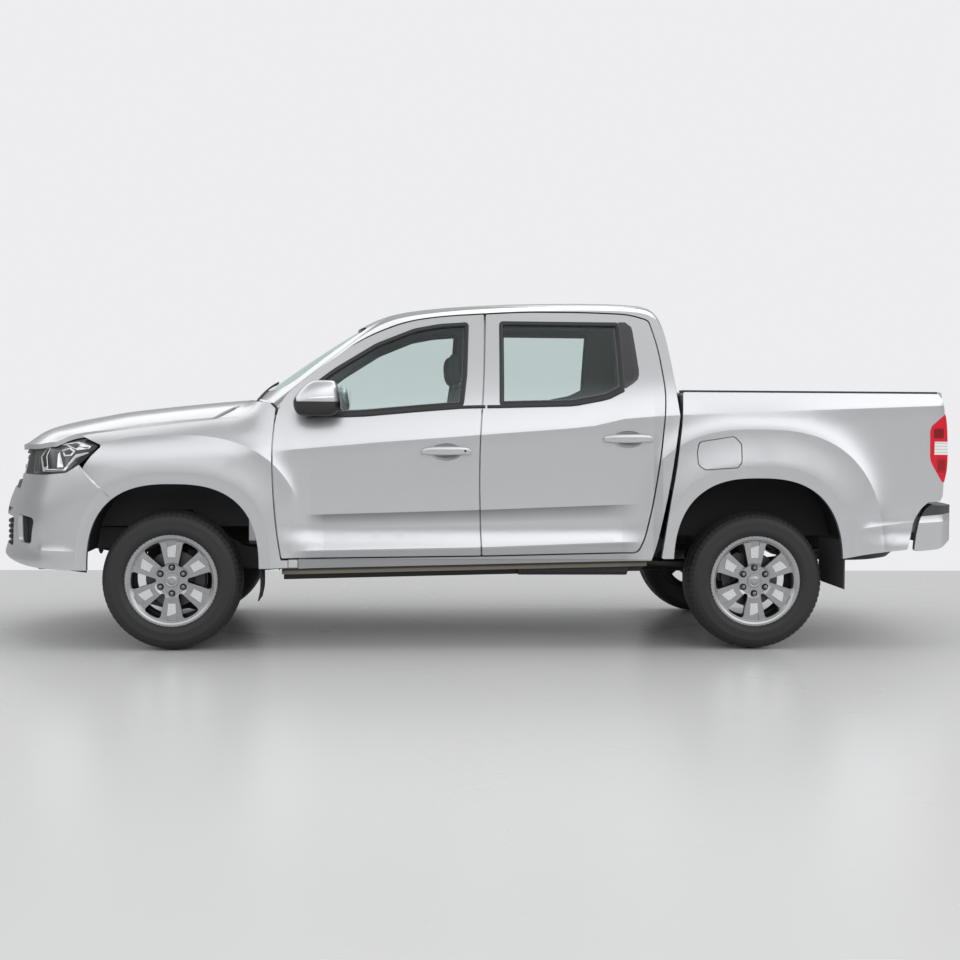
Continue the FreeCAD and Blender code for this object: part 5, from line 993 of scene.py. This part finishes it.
for name, edges, finish in (
    ("sill_flange", (-0.012, 0.014, 0.872, 0.842), sill_shadow),
    ("sill_flange_edge", (0.014, 0.034, 0.866, 0.846), sill_pale),
    ("under_rail", (0.020, 0.078, 0.700, 0.640), dark_metal),
):
    on_both_sides(name, [flange(*edges)], finish, "truck", **BAR)

# %% [markdown]
# ## Lamps
#
# Each headlamp is a dark glossy block. Bright frames and reflectors lie on it as thin plates with
# slanted rims, from outlines in side view, each point set on the lamp's own surface.

# %% Headlamps
lamp_black = plain("headlamp_black", (0.016, 0.017, 0.018), 0.16, spread=0.05,
                   Specular_IOR_Level=0.30)
x, y, z = lamp_black.axes()
side_face = x.above(-2.37, 0.06)
lamp_black.feed(Coat_Weight=side_face * 0.5, Roughness=0.42 - side_face * 0.28)
lamp_grey = plain("headlamp_grey_reflector", (0.085, 0.09, 0.093), 0.22, Metallic=0.5,
                  Coat_Weight=0.4)
lamp_mirror = plain("headlamp_mirror", (0.66, 0.67, 0.68), 0.24, Metallic=0.7, Coat_Weight=0.5,
                    spread=0.04)
coat(lamp_black, "headlamps")
lamp_skin = skin("headlamps")


def plate(corners, height, slant=3.0):
    """A thin plate on the lamp, from corners in a sketch of its side view: the rim lies on the
    surface, and the face stands above it, drawn in by a slant."""
    corners = [(-1997 + (u - 1010) * 0.549, 1091 - (v - 240) * 0.538) for u, v in corners]
    rim = band(outline(corners, 0.003, 3, 0.02), [(0.0, 0.3), (slant, height)], lamp_skin)
    middle = np.broadcast_to(rim[:, -1:].mean(axis=0, keepdims=True), rim[:, -1:].shape)
    return np.concatenate([rim, middle], axis=1)


BRIGHT = [
    [(388, 358), (460, 262), (512, 256), (474, 345), (497, 468), (432, 500)],
    [(432, 500), (440, 478), (668, 466), (690, 486)],
    [(600, 330), (622, 300), (668, 452), (597, 458)],
    [(640, 285), (720, 256), (783, 292), (745, 340), (668, 344)],
    [(480, 238), (700, 212), (790, 200), (932, 243), (922, 266), (800, 282), (660, 232),
     (482, 248)],
    [(790, 322), (915, 300), (910, 314), (798, 334), (690, 486), (668, 470)],
]
GREY = [
    [(300, 268), (392, 264), (378, 352), (384, 520), (300, 528)],
    [(680, 352), (742, 350), (705, 440), (684, 452)],
    [(744, 404), (808, 397), (745, 452), (690, 482)],
]
reflectors = [plate(corners, 2.2) for corners in BRIGHT]
on_both_sides("headlamp_reflectors", reflectors, lamp_mirror, "truck", **PLATE)
facets = [plate(corners, 1.6) for corners in GREY]
on_both_sides("headlamp_facets", facets, lamp_grey, "truck", **PLATE)

# %% [markdown]
# ## Grille
#
# The grille's bars are solids already. Three of them carry a bright strip, which a mask by height
# turns from black plastic to chrome.

# %% Grille
grille_black = plain("grille_finish", (0.02, 0.02, 0.021), 0.35, Specular_IOR_Level=0.15)
x, y, z = grille_black.axes()
SLATS, SLAT_HALF = (0.905, 0.958, 1.011), 0.0100
low_slat, middle_slat, top_slat = (abs(z - level).below(SLAT_HALF) for level in SLATS)
slat = low_slat.high(middle_slat).high(top_slat) * abs(y).below(0.452) * x.below(-2.50)
grille_black.feed(
    Base_Color=grille_black.blend(slat, (0.018, 0.018, 0.019), (0.70, 0.71, 0.73)),
    Metallic=slat, Roughness=0.30 - slat * 0.16,
)
coat(grille_black, "grille")
print("chrome slats at", SLATS)

# %% [markdown]
# ## Mirrors
#
# A mirror case is a stack of rounded plan outlines: each level has its own front, back and depth,
# and a superellipse joins them. The cap is silver and the base is black plastic, and a clear
# repeater lamp lies in the cap.

# %% Door mirrors
# Each level: its height, front, back and half depth, in millimetres.
LEVELS = np.array([
    (1258, -902, -800, 30), (1260, -928, -770, 52), (1270, -948, -746, 68), (1290, -961, -726, 80),
    (1313, -967, -720, 87), (1334, -968, -721, 90), (1336, -968, -721, 90), (1360, -959, -725, 89),
    (1385, -940, -729, 85), (1405, -922, -732, 79), (1422, -903, -737, 71), (1435, -886, -743, 60),
    (1443, -870, -752, 46), (1446, -850, -770, 24),
]) / 1000.0
MIRROR_Y = -0.984


def mirror_levels(levels):
    """Levels as rings of a superellipse whose depth shrinks a little towards the back."""
    angle = circle(56)
    height, front, back, depth = (levels[:, k:k + 1] for k in range(4))
    middle, half = (front + back) / 2, (back - front) / 2
    ring_x = middle + half * squarish(np.cos(angle), 0.72)
    behind = np.clip((ring_x - middle) / half, 0.0, 1.0)
    ring_y = MIRROR_Y + depth * squarish(np.sin(angle), 0.80) * (1.0 - 0.10 * behind)
    return ends_closed(at(ring_x, ring_y, height))


case = silver("mirror_cap_silver")
x, y, z = case.axes()
front_lip = (x + (z - 1.258) * 0.34).below(-0.921, 0.003) * z.below(1.392, 0.004)
painted_but(case, z.below(1.335).high(front_lip), (0.016, 0.016, 0.017), 0.45)
shells = on_both_sides("mirror_case", [mirror_levels(LEVELS)], case, "leaf_front_{}", **TUBE)
for item, (side, sign) in zip(shells, LEFT_AND_RIGHT):
    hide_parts("mirror_" + side)

# %% Mirror stalk, repeater and glass
STALK = np.array([
    (0, -14), (30, -18), (60, -14), (66, 0), (60, 14), (30, 18), (0, 14), (-6, 0),
]) / 1000.0
t = np.linspace(0.0, 1.0, 6)[:, None]
stalk = at(-0.905 + 0.02 * t + STALK[:, 0] * (1.25 - 0.35 * t), -0.885 - 0.060 * t,
           1.282 + STALK[:, 1] * (1.0 + 0.2 * (1 - t)))
on_both_sides("mirror_stalk", [ends_closed(stalk)], black, "leaf_front_{}", **TUBE)
repeater = plain("repeater_lens", (0.78, 0.79, 0.80), 0.12, Metallic=0.6, Coat_Weight=1.0)
along_cap = np.linspace(-0.885, -0.752, 9)
cap_skin = skin(shells[0])
rows = []
for drop, lift in ((0.0, -0.0005), (0.002, 0.002), (0.010, 0.002), (0.012, -0.0005)):
    level = 1.358 - drop + (along_cap + 0.885) * 0.05
    rows.append(at(along_cap, laid(cap_skin, along_cap, level, lift), level))
on_both_sides("mirror_repeater", [np.stack(rows, axis=1)], repeater, "leaf_front_{}",
              facing=(0, -1, 0))
glass_y, glass_z = np.linspace(-1.052, -0.922, 8)[:, None], np.linspace(1.296, 1.420, 8)
bow = -0.7165 - 0.10 * ((glass_y + 0.985) ** 2 + (glass_z - 1.36) ** 2)
on_both_sides("mirror_glass", [at(bow, glass_y, glass_z)], chrome, "leaf_front_{}",
              facing=(1, 0, 0))

# %% [markdown]
# ## Seats
#
# A cushion is a closed superellipse of rings: full in the middle, pulled in between its corners,
# and flat where it rests. Two sewn channels run along each one, where the ring's height drops. It
# could be sewn and blown up as cloth, but a formula gives the same calm bulge at once.

# %% A padded block
def cushion(size, middle, lean=0.0, crown=0.18, power=0.42, channels=(0.62,)):
    """A padded block. Each ring is a superellipse across and along the pad, and the ring's size
    follows a superellipse over the thickness. The face swells by the crown, less a groove at each
    channel, and the pad then leans back about the vehicle's cross axis."""
    turn, tilt = circle(72), np.linspace(-np.pi / 2, np.pi / 2, 40)[:, None]
    plan = np.cos(tilt) ** power
    a, b = plan * squarish(np.cos(turn), power), plan * squarish(np.sin(turn), power)
    c = np.broadcast_to(squarish(np.sin(tilt), 0.75), a.shape)
    swell = crown * (1 - np.clip(np.abs(a), 0, 1) ** 2.5) * (1 - np.clip(np.abs(b), 0, 1) ** 2.5)
    for channel in channels:
        groove = np.exp(-((np.abs(b) - channel) / 0.035) ** 2)
        swell = swell - 0.20 * groove * (np.abs(a) < 0.97)
    c = c * (1 - crown) + np.where(c > 0, swell, 0.0)
    pull = 1 - 0.025 * (1 - np.abs(a) ** 4) * (1 - np.abs(c))
    x, y, z = a * size[0] / 2, b * size[1] / 2 * pull, c * size[2] / 2
    s, k = math.sin(lean), math.cos(lean)
    return at(x * k + z * s, y, z * k - x * s) + np.array(middle)


def pedestal(x, y, z):
    """A seat's base: a skirt that narrows upwards, from rings of a superellipse."""
    turn = circle(48)
    round_x, round_y = squarish(np.cos(turn), 0.4), squarish(np.sin(turn), 0.4)
    rings = []
    for height, shrink in ((z[0], 0.94), (z[0] + 0.02, 1.0), (z[1] - 0.05, 0.93), (z[1], 0.90)):
        rings.append(at((x[0] + x[1]) / 2 + (x[1] - x[0]) / 2 * shrink * round_x,
                        (y[0] + y[1]) / 2 + (y[1] - y[0]) / 2 * shrink * round_y, height))
    return ends_closed(np.stack(rings))


# %% Seats
SEAT_Y = 0.37
FRONT_BACK, BENCH_BACK, BENCH_REST = (-math.radians(angle) for angle in (94.0, 83.6, 86.0))
BENCH = (0.34, (0.34,))  # the outline's power and the channels
HEAD_REST = (0.3, 0.6, ())  # the crown, the outline's power and no channels
pads = []
for side, sign in LEFT_AND_RIGHT:
    y = -SEAT_Y * sign
    pads += [
        ("seat_cushion_" + side, "front_seats",
         cushion((0.56, 0.50, 0.145), (-0.28, y, 0.828), -0.03, 0.22)),
        ("seat_back_" + side, "front_seats",
         cushion((0.60, 0.50, 0.125), (-0.030, y, 1.125), FRONT_BACK, 0.25)),
        ("head_rest_" + side, "front_seats",
         cushion((0.18, 0.255, 0.090), (-0.082, y, 1.530), FRONT_BACK, *HEAD_REST)),
    ]
pads += [
    ("bench_cushion", "rear_seat",
     cushion((0.49, 1.32, 0.135), (0.715, 0.0, 0.864), -0.04, 0.2, *BENCH)),
    ("bench_back", "rear_seat",
     cushion((0.545, 1.32, 0.095), (0.948, 0.0, 1.130), BENCH_BACK, 0.25, *BENCH)),
]
pads += [
    ("bench_rest_" + mark, "rear_seat",
     cushion((0.165, 0.255, 0.075), (0.985, y, 1.447), BENCH_REST, *HEAD_REST))
    for mark, y in (("a", -0.36), ("b", 0.36))
]
for name, node, grid in pads:
    item = surface(name, grid, cloth, "truck", **TUBE)
    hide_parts(node)
skirts, posts = [], []
post = turned([(0.01, 0.0), (6.0, 0.0), (6.0, 130.0), (0.01, 130.0)], 12)
for y in (-SEAT_Y, SEAT_Y):
    skirts.append(pedestal((-0.48, -0.06), (y - 0.19, y + 0.19), (0.575, 0.775)))
    for shift in (-0.08, 0.08):
        posts.append(at(post[..., 0] - 0.066, post[..., 2] + y + shift, 1.385 - post[..., 1]))
several("seat_frames", skirts, dash, "truck", **TUBE)
several("head_rest_posts", posts, chrome, "truck", **RING)
bench_base = pedestal((0.56, 0.92), (-0.60, 0.60), (0.575, 0.815))
surface("bench_base", bench_base, dash, "truck", **TUBE)
print("padded pieces", len(pads))

# %% [markdown]
# ## Nose
#
# Black panels close the openings of the bumper from behind, with slats in the lower one, so that
# the view doesn't go into an empty nose. Each panel is a sheet that follows the bumper's curve.

# %% Behind the bumper's openings
vent_black = plain("vent_black", (0.010, 0.010, 0.0105), 0.6, 0.3, 300.0, Specular_IOR_Level=0.2)
NOSE_X = [-2.60, -2.50, -2.45, -2.42, -2.38, -2.34, -2.30]
NOSE_Y = [-0.357, -0.588, -0.679, -0.726, -0.780, -0.824, -0.858]
POCKET_DEPTH = 0.046
run_x = np.linspace(-2.525, -2.315, 12)[:, None]
run_y = np.interp(run_x, NOSE_X, NOSE_Y)
slope = np.gradient(run_y, run_x[:, 0], axis=0)
length = np.sqrt(1 + slope ** 2)
pocket = at(run_x - slope / length * POCKET_DEPTH, run_y + 1 / length * POCKET_DEPTH,
            np.linspace(0.525, 0.735, 6))
on_both_sides("fog_pocket", [pocket], vent_black, "truck", facing=(-0.7, -0.7, 0.0))
wide = np.linspace(-0.555, 0.555, 25)[:, None]
panel = at(-2.622 + 0.40 * wide ** 2, wide, np.linspace(0.500, 0.715, 5))
surface("intake_panel", panel, vent_black, "truck", facing=(-1.0, 0.0, 0.0))
SLAT_SECTION = ((0.0, -0.003), (0.0, 0.003), (0.026, 0.006), (0.026, -0.006))
span = np.linspace(-0.485, 0.485, 21)
slats = [
    ends_closed(np.stack([
        at(-2.655 + 0.48 * span ** 2 + dx, span, level + dz) for dx, dz in SLAT_SECTION
    ], axis=1)) for level in (0.560, 0.590, 0.620, 0.650)
]
several("intake_slats", slats, black, "truck", **BAR)
print("intake slats", len(slats))

# %% Under the nose
hook = turned([(0.01, 0.0), (9.0, 0.0), (11.0, 20.0), (9.0, 58.0), (4.0, 74.0), (0.01, 76.0)], 16)
hooks = [at(hook[..., 0] * 1.6 - 2.235, hook[..., 2] - 0.46, hook[..., 1] + 0.470)]
on_both_sides("tow_hook_cover", hooks, dark_metal, "truck", **RING)
GUARD_SECTION = ((-0.60, 0.0), (-0.66, 0.012), (-0.66, 0.030), (-0.60, 0.030))
guard_x = np.linspace(-2.44, -2.12, 9)
low = 0.452 - 0.070 * np.sin(np.clip((guard_x + 2.44) / 0.42, 0, 1) * np.pi / 2)
guard = ends_closed(np.stack([at(guard_x, y, low + rise) for y, rise in GUARD_SECTION], axis=1))
on_both_sides("nose_guard", [guard], vent_black, "truck", **BAR)

# %% [markdown]
# ## Seams
#
# The gap between bumper and fender is a fine line on the real truck and wider in the solids. A
# thin painted strip lies in it, a little below both panels, so that only a shadow line is left.

# %% Strips in the seams
SEAM = np.array([
    (-2.108, 0.988), (-2.080, 0.960), (-2.050, 0.930), (-2.020, 0.900), (-2.000, 0.880),
    (-1.981, 0.860), (-1.964, 0.840), (-1.946, 0.820), (-1.937, 0.809),
])
SEAM_WIDTH, SEAM_DEPTH, SEAM_THICK, SEAM_REACH = 0.0135, 0.0030, 0.003, 0.016
panels = skin("front_bumper", "front_fenders")


def seam_strip(line):
    """A flat bar along a line on the left side, a little below the panels on its two sides. Each
    edge takes its depth from the panel beside it."""
    along = np.gradient(line, axis=0)
    along /= np.linalg.norm(along, axis=1)[:, None]
    normal = np.stack([-along[:, 1], along[:, 0]], axis=1)
    rows = []
    for side, inwards in ((-1, 0.0), (1, 0.0), (1, SEAM_THICK), (-1, SEAM_THICK)):
        edge = line + side * normal * SEAM_WIDTH / 2
        beside = line + side * normal * SEAM_REACH
        y = laid(panels, beside[:, 0], beside[:, 1], -SEAM_DEPTH - inwards)
        rows.append(at(edge[:, 0], y, edge[:, 1]))
    return ends_closed(np.stack(rows, axis=1))


seam_paint = silver("seam_paint")
on_both_sides("bumper_seam", [seam_strip(SEAM)], seam_paint, "truck", **BAR)
SILL_SECTION = ((0.004, 0.4455), (0.0, 0.450), (-0.0012, 0.480), (0.006, 0.4905),
                (0.040, 0.4905), (0.040, 0.4455))
sill_x = np.linspace(-0.9965, -0.9480, 5)
outer = np.interp(sill_x, [-1.0, -0.94], [-0.9285, -0.9165])
sill_end = ends_closed(np.stack([at(sill_x, outer + dy, z) for dy, z in SILL_SECTION], axis=1))
on_both_sides("sill_end", [sill_end], seam_paint, "truck", **BAR)

# %% [markdown]
# ## Door handles
#
# A handle is a bar that stands free of the door and curves in to it at both ends. It could be a
# box with rounded edges, but a section that shrinks along a superellipse also gives the taper.

# %% Door handles
HANDLE_SIZE = (0.268, 0.047)


def grip(x, z, tilt):
    """A handle: a bar along the door whose section, a superellipse, narrows towards both ends
    and curves in to the door there."""
    t = np.linspace(-1.0, 1.0, 25)[1:-1, None]
    turn = circle(20)
    full = (1 - np.abs(t) ** 4.5) ** 0.5
    height, depth = HANDLE_SIZE[1] / 2 * full * (1 - 0.10 * t * t), 0.0085 * full
    bow = 0.020 - 0.007 * t * t
    return at(x + HANDLE_SIZE[0] / 2 * t, -bow - depth * squarish(np.sin(turn), 0.75),
              z + tilt * t + height * squarish(np.cos(turn), 0.75))


handle_paint = silver("handle_silver")
for where, x, z, tilt in (("front", -0.156, 1.0765, 0.001), ("rear", 0.822, 1.1475, 0.002)):
    bar = grip(x, z, tilt)
    bar[..., 1] += laid(SKIN[where][0], np.array([x - 0.17, x + 0.17]), z).mean()
    on_both_sides("handle_grip_" + where, [ends_closed(bar)], handle_paint,
                  "leaf_" + where + "_{}", **TUBE)
